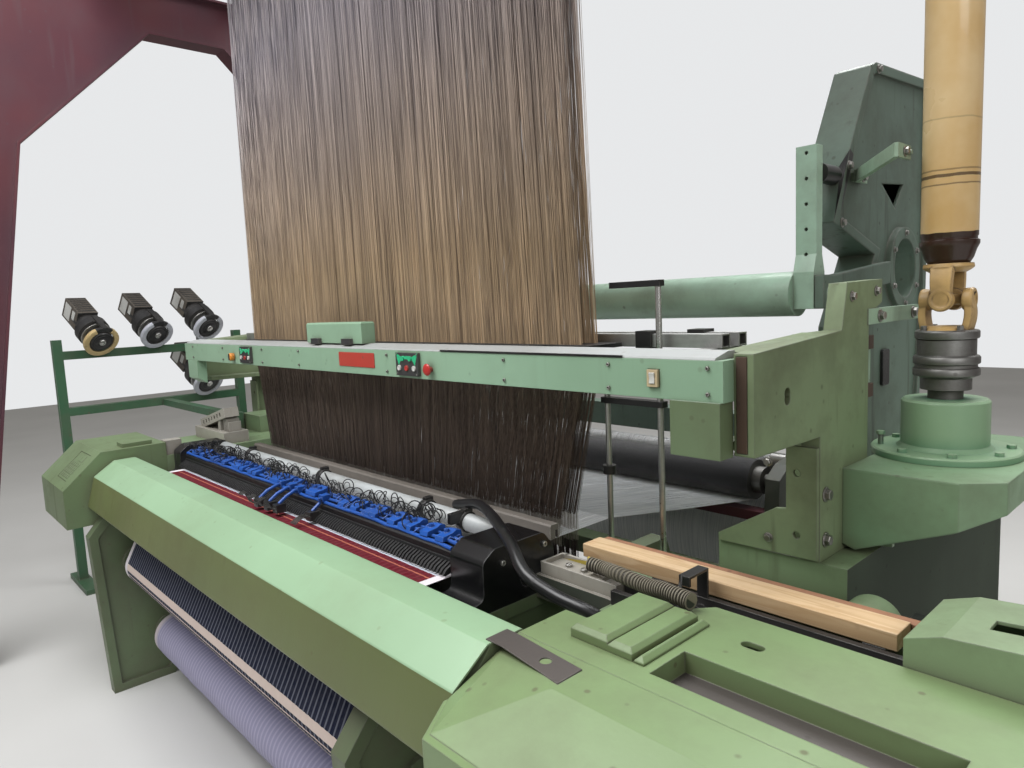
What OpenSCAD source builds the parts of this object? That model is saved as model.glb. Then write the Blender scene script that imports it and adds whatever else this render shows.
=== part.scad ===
// Power loom with an overhead harness head, driven by an upright joint shaft.
// X runs along the weaving width, Y from the weaver's side to the warp side, Z up.
// The weaving centre is x = 0, and y = 0 lies beside the reed.
// The whole model is then shifted so that its origin is under its middle.

/* [Side frames] */
// Gap between the edge of the warp and a side frame
frame_gap = 78; // [76:1:90]
// Thickness of a side frame casting
frame_t = 56; // [44:1:56]
// Depth of the hollow between the rims of a side frame
rim_h = 14; // [6:1:18]
// Width of the rim round a side frame
rim_w = 34; // [24:1:36]
// Height of the side frames beside the sley
frame_z = 880; // [870:1:884]
// Height of the side frames at the back
frame_back_z = 700; // [690:1:710]
// Y of the back end of the side frames
frame_back_y = 1660; // [1640:1:1700]

/* [Front and tables] */
// Height of the table and of the front cover
table_z = 1003; // [1000:1:1008]
// Sheet thickness of the covers
cover_t = 4; // [3:0.5:5]
// Width of the gap between the right side frame and the right housing
housing_gap = 250; // [240:1:256]
// Width of the right housing
housing_w = 906; // [890:1:960]
// Y of the back edge of the right table
table_back = -150; // [-160:1:-146]
// Wall of the housings
housing_t = 8; // [6:1:10]
// Width of the left housing and console
left_w = 456; // [450:1:460]

/* [Cloth and warp] */
// Half of the width of the cloth and the warp
warp_half = 950; // [930:1:970]
// Height of the middle of the warp at the reed
warp_z = 937; // [936:0.5:938]
// Thickness of the warp sheet
warp_t = 3; // [2:0.5:4]
// Thickness of the cloth
cloth_t = 2; // [1:0.5:3]
// Radius of the take-up roller
takeup_r = 75; // [65:1:80]
// Radius of the cloth wound on the cloth roll
roll_r = 95; // [80:1:105]
// Radius of the back roller
back_r = 78; // [70:1:80]
// Radius of the yarn wound on the warp beam
beam_yarn_r = 300; // [250:1:305]
// Radius of the warp beam's flanges
flange_r = 350; // [330:1:355]
// Radius of the rollers' journals
journal_r = 25; // [20:1:28]
// Gap all round a turning shaft in its bore
fit = 0.05; // [0.02:0.01:0.08]
// Gap between a sliding or turning piece and its neighbour
gap = 0.5; // [0.4:0.1:0.8]

/* [Sley and harness] */
// Radius of the rocking shaft's journals
rock_r = 30; // [26:1:34]
// Height of the rocking shaft
rock_z = 430; // [420:1:440]
// Number of cords across the harness
cord_n = 60; // [20:1:60]
// Width of a heddle cord at the warp
cord_w = 8; // [6:0.5:9]
// Width of a dent of the reed
dent_w = 3; // [2:0.5:4]
// Height of the reed's cap
cap_h = 42; // [40:1:46]
// Y of the front harness
front_y = 108; // [106:1:112]
// Y of the back harness
back_y = 172; // [166:1:174]
// Travel of a harness up and down from its middle
lift = 30; // [20:1:30]
// Height of the comber board
comber_z = 1470; // [1465:1:1475]

/* [Upper beam and arms] */
// Y of the front face of the upper beam
beam_y = -40; // [-42:1:-38]
// Depth of the upper beam
beam_d = 80; // [76:1:84]
// Height of the upper beam's underside
beam_z = 1380; // [1376:1:1384]
// Height of the upper beam's face
beam_h = 86; // [80:1:88]
// Distance from the edge of the warp to the arms
arm_gap = 605; // [600:1:610]
// Thickness of the arms
arm_t = 45; // [40:1:50]
// Height of the top of the columns
column_z = 1596; // [1590:1:1600]

/* [Upright drive] */
// Distance from an arm's outer face to the upright shaft
drive_gap = 130; // [128:1:136]
// Y of the upright shaft
drive_y = 734; // [730:1:738]
// Height of the gearbox's top
gearbox_z = 1165; // [1160:1:1170]
// Radius of the turret's flange
turret_flange_r = 170; // [160:1:174]
// Radius of the turret
turret_r = 100; // [90:1:105]
// Height of the turret's top
turret_z = 1309; // [1300:1:1312]
// Radius of the joint shaft's tube
tube_r = 63; // [58:1:66]
// Radius of the shaft in the turret's bore
shaft_r = 40; // [34:1:44]

/* [Beam stands] */
// Distance from the edge of the warp to the outer face of a beam stand
stand_gap = 464; // [462:1:468]
// Thickness of a beam stand
stand_t = 114; // [100:1:118]
// Height of the beam stands
stand_z = 2315; // [2300:1:2330]
// Height of the swinging tube
swing_z = 1590; // [1586:1:1594]
// Y of the swinging tube
swing_y = 718; // [714:1:722]
// Radius of the swinging tube
swing_r = 65; // [58:1:66]

/* [Gantry and head] */
// Distance from the edge of the warp to the left portal
portal_left_gap = 817; // [810:1:830]
// Distance from the end of the right housing to the right portal
portal_right_gap = 180; // [175:1:200]
// Clear height under the portals
portal_clear = 3050; // [3040:1:3080]
// Height of the top of the portals
portal_z = 3300; // [3290:1:3320]
// Width of a portal post
post_w = 250; // [240:1:260]
// Width of the steel sections' flanges
section_w = 120; // [110:1:130]
// Thickness of the steel sections
section_t = 12; // [10:1:14]
// Height of the long beams that carry the head
long_h = 200; // [190:1:210]
// Height of the harness head's casing
head_h = 640; // [600:1:700]

/* [Weft feeders] */
// Distance from the left portal to the feeder stand
feeder_gap = 873; // [853:1:893]
// Radius of a feeder's front ring
feeder_r = 98; // [90:1:104]
// Size of the stand's square tube
stand_tube = 50; // [40:1:60]

/* [Push buttons] */
// Radius of a push button
button_r = 9; // [7:0.5:10]
// Travel of a push button
button_travel = 4; // [3:0.5:5]

/* [Hidden] */
$fn = 48;

frame_in = warp_half + frame_gap;
frame_out = frame_in + frame_t;
housing_x = frame_out + housing_gap;
cover_right = housing_x + 52;
right_end = housing_x + housing_w;
left_end = -frame_out - left_w;
arm_x = warp_half + arm_gap;
beam_left = -arm_x - arm_t;
drive_x = arm_x + arm_t + drive_gap;
stand_x = warp_half + stand_gap;
portal_left = -warp_half - portal_left_gap;
portal_right = right_end + portal_right_gap;
feeder_x = portal_left - feeder_gap;
cover_left = -frame_out + 4;
bolt_r = 9;
seat = 0.3;

// Centres of the rollers and shafts, as [y, z]
takeup_c = [-500, 560];
roll_c = [-400, 215];
back_c = [1205, 878];
rear_bar_c = [1340, 925];
beam_c = [1560, 560];
rock_c = [60, rock_z];
breast_r = 14;
breast_c = [-385, warp_z - cloth_t / 2 - seat - breast_r];
rear_bar_r = 35;
frame_bores = [takeup_c, roll_c, beam_c];
fell_y = -115;

// Places across the width
cord_half = warp_half + 100;
cord_pitch = 2 * cord_half / cord_n;
function cord_x(i) = -cord_half + cord_pitch * (i + 0.5);
warp_cords = [for (i = [0:cord_n - 1]) if (abs(cord_x(i)) < warp_half - cord_w) cord_x(i)];
slot_w = cord_w + 2;

// Feeder bodies: length, and how far their noses are tilted down and turned forward
feeder_len = 370;
feeder_tilt = 125;
feeder_turn = 13.5;
feeder_out = 120;

// Overall extents, from which the origin is placed
leg_front = -895;
leg_spread = 370;
front_edge = leg_front - leg_spread;
back_edge = beam_c[0] + flange_r;
feeder_reach = cos(feeder_turn) * sin(feeder_tilt);
left_edge = feeder_x + feeder_out - feeder_len * feeder_reach + 50 * cos(feeder_tilt) * cos(feeder_turn)
    - 58 * sin(feeder_turn);
right_edge = portal_right + 150;
mid_x = (left_edge + right_edge) / 2;
mid_y = (front_edge + back_edge) / 2;

// Direction helpers for outlines and strips
function unit(v) = v / norm(v);
function left_of(v) = [-v[1], v[0]];
function reversed(p) = [for (i = [len(p) - 1:-1:0]) p[i]];
function mitre(a, b, c, d) =
    let (n1 = left_of(unit(b - a)), n2 = left_of(unit(c - b)), m = unit(n1 + n2))
    b + m * d / (m * n1);
function side_path(p, d) = [
    for (i = [0:len(p) - 1])
        i == 0 ? p[0] + left_of(unit(p[1] - p[0])) * d
        : i == len(p) - 1 ? p[i] + left_of(unit(p[i] - p[i - 1])) * d
        : mitre(p[i - 1], p[i], p[i + 1], d)
];
function inset(p, d) = [
    for (i = [0:len(p) - 1])
        mitre(p[(i + len(p) - 1) % len(p)], p[i], p[(i + 1) % len(p)], d)
];
function strip(p, a, b) = concat(side_path(p, a), reversed(side_path(p, b)));
function arc(c, r, a0, a1, n) = [
    for (i = [0:n]) let (a = a0 + (a1 - a0) * i / n) c + r * [cos(a), sin(a)]
];
function angle_to(c1, c2) = atan2(c2[1] - c1[1], c2[0] - c1[0]);
function outer_tangent(c1, r1, c2, r2, s) = angle_to(c1, c2) + s * acos((r1 - r2) / norm(c2 - c1));
function inner_tangent(c1, r1, c2, r2, s) = angle_to(c1, c2) + s * acos((r1 + r2) / norm(c2 - c1));

// Shared shapes
module place() translate([-mid_x, -mid_y, 0]) children();
module box(a, b) translate(a) cube(b - a);
module yz(x0, x1) translate([x0, 0, 0]) rotate([90, 0, 90]) linear_extrude(x1 - x0) children();
module xz(y0, y1) translate([0, y1, 0]) rotate([90, 0, 0]) linear_extrude(y1 - y0) children();
module xcyl(x0, x1, c, r) translate([x0, c[0], c[1]]) rotate([0, 90, 0]) cylinder(h = x1 - x0, r = r);
module ycyl(y0, y1, x, z, r) translate([x, y0, z]) rotate([-90, 0, 0]) cylinder(h = y1 - y0, r = r);
module both_sides() {
    children();
    mirror([1, 0, 0]) children();
}

// Side frames: ribbed castings with feet, a front horn and windows
horn_y = -540;
horn_back = -463;
frame_outline = [
    [-650, 0], [-400, 0], [-330, 150], [1380, 150], [1410, 0], [frame_back_y, 0],
    [frame_back_y, 640], [1420, frame_back_z], [1110, frame_back_z], [980, 600], [520, 600],
    [420, frame_z], [-430, frame_z], [horn_back, 955], [horn_back, table_z - cover_t], [horn_y, table_z - cover_t],
    [-600, 930], [-600, 800], [-682, 700]
];
frame_windows = [
    [[-290, 230], [-70, 230], [-70, 520], [-290, 640]],
    [[200, 230], [620, 230], [560, 520], [200, 700]],
    [[700, 230], [1100, 230], [1100, 520], [760, 520]]
];
ties = [[-320, 660, 80, 110], [622, 160, 76, 110], [880, 526, 90, 72]];
frame_pads = concat(ties, [[90, 510, 100, 180]]);
module side_frame() {
    difference() {
        union() {
            for (t = frame_pads) box([frame_in, t[0], t[1]], [frame_out, t[0] + t[2], t[1] + t[3]]);
            yz(frame_in + rim_h, frame_out - rim_h) polygon(frame_outline);
            yz(frame_in, frame_out) difference() {
                polygon(frame_outline);
                polygon(inset(frame_outline, rim_w));
            }
            for (c = concat(frame_bores, [rock_c])) xcyl(frame_in, frame_out, c, 62);
        }
        for (w = frame_windows) yz(frame_in - 1, frame_out + 1) polygon(w);
        for (c = frame_bores) xcyl(frame_in - 1, frame_out + 1, c, journal_r + fit);
        xcyl(frame_in - 1, frame_out + 1, rock_c, rock_r + fit);
        for (y = [-600, -440, 1450, 1600])
            translate([frame_in + frame_t / 2, y, -1]) cylinder(h = 60, r = bolt_r);
    }
}
module left_frame() {
    color([0.40, 0.50, 0.34]) mirror([1, 0, 0]) side_frame();
}
module right_frame() {
    color([0.40, 0.50, 0.34]) side_frame();
}

// Breast bar, ties between the side frames and short ties to the right housing
tie_wall = 8;
module tie(x0, x1, y, z, w, h) {
    difference() {
        box([x0, y, z], [x1, y + w, z + h]);
        box([x0 - 1, y + tie_wall, z + tie_wall], [x1 + 1, y + w - tie_wall, z + h - tie_wall]);
    }
}
module cross_beams() {
    color([0.30, 0.36, 0.28]) {
        for (t = ties) tie(-frame_in, frame_in, t[0], t[1], t[2], t[3]);
        for (t = [ties[0], ties[2]]) tie(frame_out, housing_x, t[0], t[1], t[2], t[3]);
        xcyl(bar_left, bar_right, breast_c, breast_r);
    }
}

// Front cover: one folded sheet from end to end
cover_path = [
    [-640, 806], [-663, 822], [-628, 947], [-546, table_z], [-457, table_z], [-457, table_z - 24]
];
module front_cover() {
    color([0.58, 0.74, 0.55])
        yz(cover_left, cover_right) polygon(strip(cover_path, 0, -cover_t));
}

// Right end cover: a wider housing whose left corner is cut back to the front cover
end_x = cover_right + 6;
module end_cover_solid(d) {
    low = table_z - 58;
    hull() {
        translate([0, 0, table_z - d - 1]) linear_extrude(1)
            polygon([[end_x + d, -476], [end_x + 176, -572 + d], [right_end - d, -572 + d], [right_end - d, -476]]);
        translate([0, 0, low]) linear_extrude(1)
            polygon([[end_x + d, -640 + d], [end_x + 59 + d, -723 + d], [right_end - d, -723 + d],
                [right_end - d, -476], [end_x + d, -476]]);
    }
    translate([0, 0, 700]) linear_extrude(low - 700)
        polygon([[end_x + d, -652 + d], [end_x + 59 + d, -738 + d], [right_end - d, -738 + d],
            [right_end - d, -476], [end_x + d, -476]]);
}
module right_end_cover() {
    color([0.55, 0.70, 0.52]) difference() {
        end_cover_solid(0);
        translate([0, 8, -cover_t]) end_cover_solid(housing_t);
        box([end_x - 1, -700, 690], [right_end + 1, -470, 702]);
        box([end_x - 1, -600, 690], [end_x + 90, -470, 960]);
    }
    color([0.38, 0.36, 0.33]) difference() {
        translate([0, 0, table_z]) linear_extrude(2) polygon([[cover_right - 16, -536], [end_x + 20, -536],
            [end_x + 176, -558], [end_x + 176, -500], [cover_right + 12, -484], [cover_right - 16, -484]]);
        translate([end_x + 113, -520, table_z - 1]) cylinder(h = 4, r = 11);
    }
}

// Left housing: cast base under the weft side, with a flat top and a rear shelf
module left_housing() {
    color([0.42, 0.52, 0.38]) difference() {
        union() {
            box([left_end, -330, 60], [-frame_out, 420, 985]);
            for (y = [-300, 300])
                box([left_end, y, 0], [-frame_out, y + 90, 60]);
        }
        box([left_end + housing_t, -330 + housing_t, 68], [-frame_out - housing_t, 420 - housing_t, 970]);
        for (z = [300:60:720]) box([left_end - 1, -200, z], [left_end + housing_t + 1, 200, z + 22]);
    }
}

// Right housing: base of the receiving side, rear deck and drive base
deck_z = frame_z;
base_z = 960;
module right_housing() {
    color([0.42, 0.52, 0.38]) difference() {
        union() {
            box([housing_x, -476, 80], [right_end - 10, 60, 930]);
            box([frame_out, 60, deck_z - 20], [housing_x + 330, 300, deck_z]);
            box([housing_x, 60, 80], [housing_x + 330, 300, deck_z]);
            box([housing_x + 329, 60, 80], [right_end - 300, 300, 760]);
            ycyl(130, 270, drive_x + 5, 868, 62);
            ycyl(118, 130, drive_x + 5, 868, 40);
            box([drive_x - 45, 140, 759], [drive_x + 55, 260, 830]);
            box([drive_x + 80, 200, 759], [drive_x + 205, 292, 905]);
            yz(housing_x, housing_x + 330)
                polygon([[300, 60], [1620, 60], [1620, 820], [1560, base_z], [300, base_z]]);
            for (x = [housing_x, right_end - 150]) box([x, -440, 0], [x + 120, -300, 80]);
            for (y = [330, 1440]) box([housing_x, y, 0], [housing_x + 320, y + 150, 60]);
        }
        box([housing_x + housing_t, -476 + housing_t, 88], [right_end - 18, 60 - housing_t, 922]);
        box([housing_x + housing_t, 60 + housing_t, 88], [right_end - 308, 300 - housing_t, 752]);
        box([housing_x + housing_t, 60 + housing_t, 700], [housing_x + 330 - housing_t, 300 - housing_t, deck_z - 10]);
        ycyl(140, 260, drive_x + 5, 868, 54);
        box([drive_x + 86, 206, 740], [drive_x + 199, 286, 899]);
        box([drive_x - 37, 148, 740], [drive_x + 47, 252, 820]);
        yz(housing_x + housing_t, housing_x + 322)
            polygon([[308, 68], [1612, 68], [1612, 812], [1555, base_z - 10], [308, base_z - 10]]);
        for (z = [200:70:620]) box([right_end - 19, -380, z], [right_end, -40, z + 26]);
    }
    color([0.45, 0.55, 0.42])
        yz(housing_x, cover_right)
            polygon([[-476, 600], [-476, table_z - cover_t], [horn_y, table_z - cover_t], [-600, 930], [-600, 800]]);
}

// Right table: raised plate with a long tray, an oval hole and a plugged hole
tray_x = end_x + 261;
tray_len = 420;
module right_table() {
    color([0.56, 0.72, 0.53]) difference() {
        translate([0, 0, 930]) linear_extrude(table_z - 930)
            polygon([[end_x, -476], [right_end - 10, -476], [right_end - 10, table_back],
                [end_x + 208, table_back], [end_x + 168, -196], [end_x + 78, -212], [end_x + 54, -349], [end_x, -349]]);
        translate([0, 0, 929]) linear_extrude(table_z - 939)
            polygon([[end_x + 10, -466], [right_end - 20, -466], [right_end - 20, table_back - 10],
                [end_x + 218, table_back - 10], [end_x + 178, -206], [end_x + 88, -222], [end_x + 64, -359],
                [end_x + 10, -359]]);
        box([tray_x, -434, table_z - 30], [tray_x + tray_len, -336, table_z + 1]);
        for (x = [0, 20]) translate([end_x + 326 + x, -245, 920]) cylinder(h = 100, r = 11);
        box([end_x + 326, -256, 920], [end_x + 346, -234, 1010]);
    }
    color([0.22, 0.23, 0.22]) difference() {
        box([tray_x - 6, -440, table_z - 42], [tray_x + tray_len + 6, -330, table_z - 10]);
        box([tray_x, -434, table_z - 38], [tray_x + tray_len, -336, table_z]);
    }
    color([0.10, 0.10, 0.10]) translate([end_x + 738, -440, table_z]) cylinder(h = 3, r1 = 16, r2 = 13);
}

// Raised lids on the table, two joined covers and a narrow one
module lid(x0, x1, y0, y1, h) {
    hull() {
        box([x0, y0, table_z], [x1, y1, table_z + h - 8]);
        box([x0 + 8, y0 + 8, table_z + h - 8], [x1 - 8, y1 - 8, table_z + h]);
    }
}
module table_lids() {
    color([0.60, 0.76, 0.56]) {
        lid(end_x + 82, end_x + 166, -424, -228, 24);
        lid(end_x + 166, end_x + 218, -424, -228, 20);
        lid(end_x + 222, end_x + 242, -424, -228, 12);
    }
}

// Guard at the right end, with a sloped front corner and a long slot in its top
module end_guard() {
    x0 = right_end - 310;
    x1 = right_end - 10;
    color([0.56, 0.71, 0.52]) difference() {
        xz(table_back + 4, 50) polygon([[x0, 930], [x1, 930], [x1, 1085], [x0 + 55, 1068], [x0, 1048]]);
        xz(table_back + 10, 44) polygon([[x0 + 6, 920], [x1 - 6, 920], [x1 - 6, 1078], [x0 + 57, 1062],
            [x0 + 6, 1043]]);
        box([x0 + 100, -80, 1000], [x1 - 30, -40, 1100]);
    }
}

// Black guide channel behind the table: two rails on a floor plate
channel_x = housing_x + 2;
module guide_channel() {
    color([0.13, 0.13, 0.13]) {
        box([channel_x, table_back + 3, 930], [right_end - 314, -24, 936]);
        for (y = [table_back + 3, -96, -48])
            box([channel_x, y, 936], [right_end - 314, y + 14, 962]);
        for (x = [channel_x + 40:120:right_end - 360]) box([x, table_back + 17, 936], [x + 12, -48, 946]);
    }
}

// Pine plank on the rear deck, with a square steel bracket over it
plank_y = -20;
plank_w = 66;
plank_top = 1000;
module plank() {
    x0 = housing_x - 191;
    x1 = right_end - 360;
    xb = housing_x + 186;
    color([0.86, 0.72, 0.50]) box([x0, plank_y, plank_top - 44], [x1, plank_y + plank_w, plank_top]);
    color([0.62, 0.42, 0.30]) box([x0 + 7, plank_y + plank_w, plank_top - 58], [x1 + 40, plank_y + plank_w + 26, plank_top - 12]);
    color([0.12, 0.12, 0.12]) for (x = [housing_x + 20, x1 - 60])
        box([x, plank_y, 930], [x + 40, plank_y + plank_w, plank_top - 44]);
    color([0.10, 0.10, 0.10]) difference() {
        box([xb, -90, 962], [xb + 40, plank_y + 34, 1044]);
        box([xb - 10, -78, 950], [xb + 50, plank_y + 22, 1032]);
        box([xb - 10, plank_y - 1, 950], [xb + 50, plank_y + 60, plank_top]);
    }
}

// Left console with a sloped keypad face
console_path = [[-745, 740], [-330, 740], [-330, 1045], [-592, 1045], [-745, 905]];
module console() {
    color([0.52, 0.66, 0.48]) difference() {
        yz(left_end, -frame_out) polygon(console_path);
        yz(left_end + 6, -frame_out - 6) polygon(inset(console_path, 6));
        translate([left_end + 210, -592, 1045]) rotate([42.4, 0, 0]) box([0, -170, -3], [170, -30, 4]);
    }
    color([0.45, 0.47, 0.46]) translate([left_end + 210, -592, 1045]) rotate([42.4, 0, 0]) {
        box([3, -167, -3], [167, -33, -1]);
        for (i = [0:4], j = [0:3])
            box([14 + i * 28, -156 + j * 20, -1], [34 + i * 28, -142 + j * 20, 0.5]);
        box([70, -72, -1], [140, -42, 0.5]);
    }
    color([0.30, 0.32, 0.28]) box([left_end + 340, -500, 1045], [left_end + 430, -380, 1062]);
}

// Cloth: over the breast bar, round the front of the take-up roller, to the cloth roll
cloth_off = cloth_t / 2 + gap;
cloth_a1 = outer_tangent(breast_c, breast_r, takeup_c, takeup_r, -1);
cloth_a2 = inner_tangent(takeup_c, takeup_r + cloth_off, roll_c, roll_r + cloth_off, -1);
cloth_path = concat(
    [[fell_y, warp_z]],
    arc(breast_c, breast_r + seat + cloth_t / 2, 90, cloth_a1 + 360, 8),
    arc(takeup_c, takeup_r + cloth_off, cloth_a1 + 360, 360 + cloth_a2, 20),
    arc(roll_c, roll_r + cloth_off, 180 + cloth_a2, 180 + cloth_a2 + 20, 4)
);
module cloth() {
    color([0.60, 0.16, 0.26]) yz(-warp_half, warp_half) polygon(strip(cloth_path, cloth_t / 2, -cloth_t / 2));
}

// Cutter bar: blue rail with small blocks over a black toothed strip
bar_left = -warp_half - 50;
bar_right = warp_half + 10;
tooth_pitch = (bar_right - bar_left - 36) / 59;
block_pitch = (bar_right - bar_left - 74) / 23;
module cutter_bar() {
    color([0.08, 0.08, 0.09]) {
        box([bar_left, -285, 948], [bar_right, -225, 974]);
        for (i = [0:59]) translate([bar_left + 16 + i * tooth_pitch, -285, 944])
            box([0, -12, 0], [10, 0, 18]);
    }
    color([0.14, 0.32, 0.72]) {
        box([bar_left, -275, 974], [bar_right, -205, 1004]);
        for (i = [0:23]) translate([bar_left + 20 + i * block_pitch, -268, 1004]) {
            box([0, 0, 0], [44, 40, 14]);
            box([8, 44, 0], [30, 60, 22]);
        }
    }
}

// Pale suction tube behind the cutter bar
yarn_tube_c = [-100, 995];
module yarn_tube() {
    color([0.75, 0.76, 0.76]) difference() {
        xcyl(bar_left, bar_right, yarn_tube_c, 25);
        xcyl(bar_left - 1, bar_right + 1, yarn_tube_c, 21);
    }
    color([0.12, 0.12, 0.13]) for (x = [-700, -60, 580]) difference() {
        xcyl(x, x + 26, yarn_tube_c, 31);
        xcyl(x - 1, x + 27, yarn_tube_c, 25);
        box([x - 1, -140, 950], [x + 27, -60, 985]);
    }
}

// Black end cheeks that carry the cutter bar and the tube on the side frames
module cheek(x0, x1) {
    yz(x0, x1) difference() {
        union() {
            polygon([[-405, frame_z], [-60, frame_z], [-66, 990], [-100, 1030], [-270, 1022], [-335, 985],
                [-405, 950]]);
        }
        translate([-160, 930]) circle(r = 22);
    }
}
module cheek_castings() {
    color([0.09, 0.09, 0.10]) {
        cheek(bar_right, frame_out);
        cheek(-frame_out, bar_left);
    }
}

// Small metal slide box beside the fell, with a raised rim and two screws
module slide_box() {
    color([0.62, 0.60, 0.55]) {
        difference() {
            box([frame_out + 8, -120, 930], [housing_x - 4, -40, 962]);
            box([frame_out + 14, -114, 940], [housing_x - 10, -46, 963]);
        }
        box([frame_out + 14, -114, 940], [frame_out + 176, -46, 950]);
        for (x = [66, 116]) translate([frame_out + x, -80, 950]) cylinder(h = 7, r = 9);
    }
    color([0.85, 0.78, 0.15]) box([frame_out + 96, -46, 950], [frame_out + 120, -40, 972]);
    color([0.30, 0.32, 0.30]) box([frame_out, -130, deck_z - 10], [housing_x, -30, 930]);
}

// Warp: from the warp beam over the rear bar, under the back roller, to the fell
warp_off = warp_t / 2 + gap;
warp_in = [320, warp_z];
warp_a1 = outer_tangent(warp_in, 0, back_c, back_r + warp_off, -1);
warp_a2 = inner_tangent(back_c, back_r + warp_off, rear_bar_c, rear_bar_r + warp_off, -1);
warp_a3 = outer_tangent(rear_bar_c, rear_bar_r + warp_off, beam_c, beam_yarn_r + warp_off, 1);
warp_path = concat(
    [[fell_y + 4, warp_z], [-60, warp_z], [230, warp_z], warp_in],
    arc(back_c, back_r + warp_off, warp_a1, warp_a2, 16),
    arc(rear_bar_c, rear_bar_r + warp_off, 180 + warp_a2, warp_a3, 16),
    arc(beam_c, beam_yarn_r + warp_off, warp_a3, warp_a3 - 12, 4)
);
module warp_sheet() {
    color([0.80, 0.80, 0.82]) difference() {
        yz(-warp_half, warp_half) polygon(strip(warp_path, warp_t / 2, -warp_t / 2));
        for (x = warp_cords) box([x - slot_w / 2, -100, warp_z - 10], [x + slot_w / 2, 215, warp_z + 10]);
    }
}

// Rear castings: roller brackets on the side frames, the rear bar and a red rail
module rear_bracket() {
    difference() {
        yz(frame_in, frame_out) polygon([[1115, frame_back_z], [1415, frame_back_z], [1400, 950],
            [1340, 985], [1280, 960], [1205, 950], [1130, 905]]);
        xcyl(frame_in - 1, frame_out + 1, back_c, journal_r + fit);
    }
}
module rear_castings() {
    color([0.16, 0.17, 0.16]) both_sides() rear_bracket();
    color([0.35, 0.36, 0.36]) xcyl(-frame_in, frame_in, rear_bar_c, rear_bar_r);
    color([0.50, 0.12, 0.10]) box([-frame_in, 1122, 738], [frame_in, 1182, 776]);
}

// Comber frame: slotted board and the two rails behind the upper beam
rail_x = warp_half + 453;
module comber_frame() {
    color([0.12, 0.11, 0.10]) difference() {
        box([-cord_half - 50, 82, comber_z], [cord_half + 50, 212, comber_z + 12]);
        for (y = [front_y, back_y])
            box([-cord_half - 16, y - 4 - seat, comber_z - 1], [cord_half + 16, y + 4 + seat, comber_z + 13]);
    }
    color([0.66, 0.67, 0.66]) {
        for (y = [212, 290]) difference() {
            box([-rail_x, y, comber_z], [rail_x, y + 36, comber_z + 34]);
            box([-rail_x - 1, y + 4, comber_z + 4], [rail_x + 1, y + 32, comber_z + 30]);
        }
        for (x = [-0.98, -0.5, -0.01, 0.5, 0.95]) box([x * rail_x, 248, comber_z], [x * rail_x + 40, 290, comber_z + 10]);
        for (x = [13 - rail_x, rail_x - 53]) {
            box([x, beam_y + beam_d, comber_z - 14], [x + 40, 212, comber_z]);
            box([x, 200, comber_z - 14], [x + 40, 326, comber_z]);
        }
    }
    color([0.12, 0.12, 0.13]) for (p = [[rail_x - 253, 212], [rail_x - 145, 290]]) difference() {
        box([p[0], p[1] - 6, comber_z - 6], [p[0] + 50, p[1] + 42, comber_z + 42]);
        box([p[0] - 1, p[1], comber_z - 7], [p[0] + 51, p[1] + 36, comber_z + 34]);
    }
}

// Spring box under the harness, open at its top
spring_half = frame_in;
module spring_box() {
    color([0.20, 0.22, 0.20]) difference() {
        box([-spring_half, 90, 500], [spring_half, 208, 700]);
        box([-spring_half + 6, 94, 506], [spring_half - 6, 204, 701]);
        for (x = [-900:200:900]) box([x - 70, 89, 540], [x + 70, 95, 640]);
    }
}

// Upper beam: hollow section with a bare front and end caps
module upper_beam() {
    color([0.55, 0.72, 0.55]) difference() {
        box([beam_left, beam_y, beam_z], [arm_x, beam_y + beam_d, beam_z + beam_h]);
        box([beam_left + 6, beam_y + 4, beam_z + 4], [arm_x - 6, beam_y + beam_d - 4, beam_z + beam_h - 4]);
        ycyl(beam_y - 1, beam_y + 5, setting_x, button_z, knob_r + 0.5);
        ycyl(beam_y - 1, beam_y + 5, mushroom_x, button_z, 8.5);
        box([switch_x - 16, beam_y - 1, switch_z - 20], [switch_x + 16, beam_y + 5, switch_z + 20]);
    }
    color([0.80, 0.70, 0.50]) box([beam_left - 8, beam_y + 4, beam_z + 4], [beam_left, beam_y + beam_d - 4, beam_z + beam_h - 4]);
    color([0.50, 0.66, 0.50]) {
        difference() {
            box([arm_x - 125, beam_y - 6, 1262], [arm_x - 5, 4, beam_z]);
            box([arm_x - 119, beam_y, 1268], [arm_x - 11, 5, beam_z - 6]);
        }
        yz(-arm_x - 5, -arm_x + 125) polygon([[beam_y - 4, 1290], [0, 1262], [4, beam_z], [beam_y - 4, beam_z]]);
    }
}

// Sloped cover on the beam, lying on it from end to end
module beam_cover() {
    color([0.78, 0.79, 0.78]) yz(beam_left + 20, arm_x - 20)
        polygon([[beam_y + 2, beam_z + beam_h], [beam_y + beam_d, beam_z + beam_h],
            [beam_y + beam_d, beam_z + beam_h + 16], [beam_y + beam_d - 26, beam_z + beam_h + 16],
            [beam_y + 6, beam_z + beam_h + 5]]);
    color([0.14, 0.14, 0.15]) box([620, beam_y - 2, beam_z + beam_h + 1], [1300, beam_y + 2, beam_z + beam_h + 6]);
}

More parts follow.
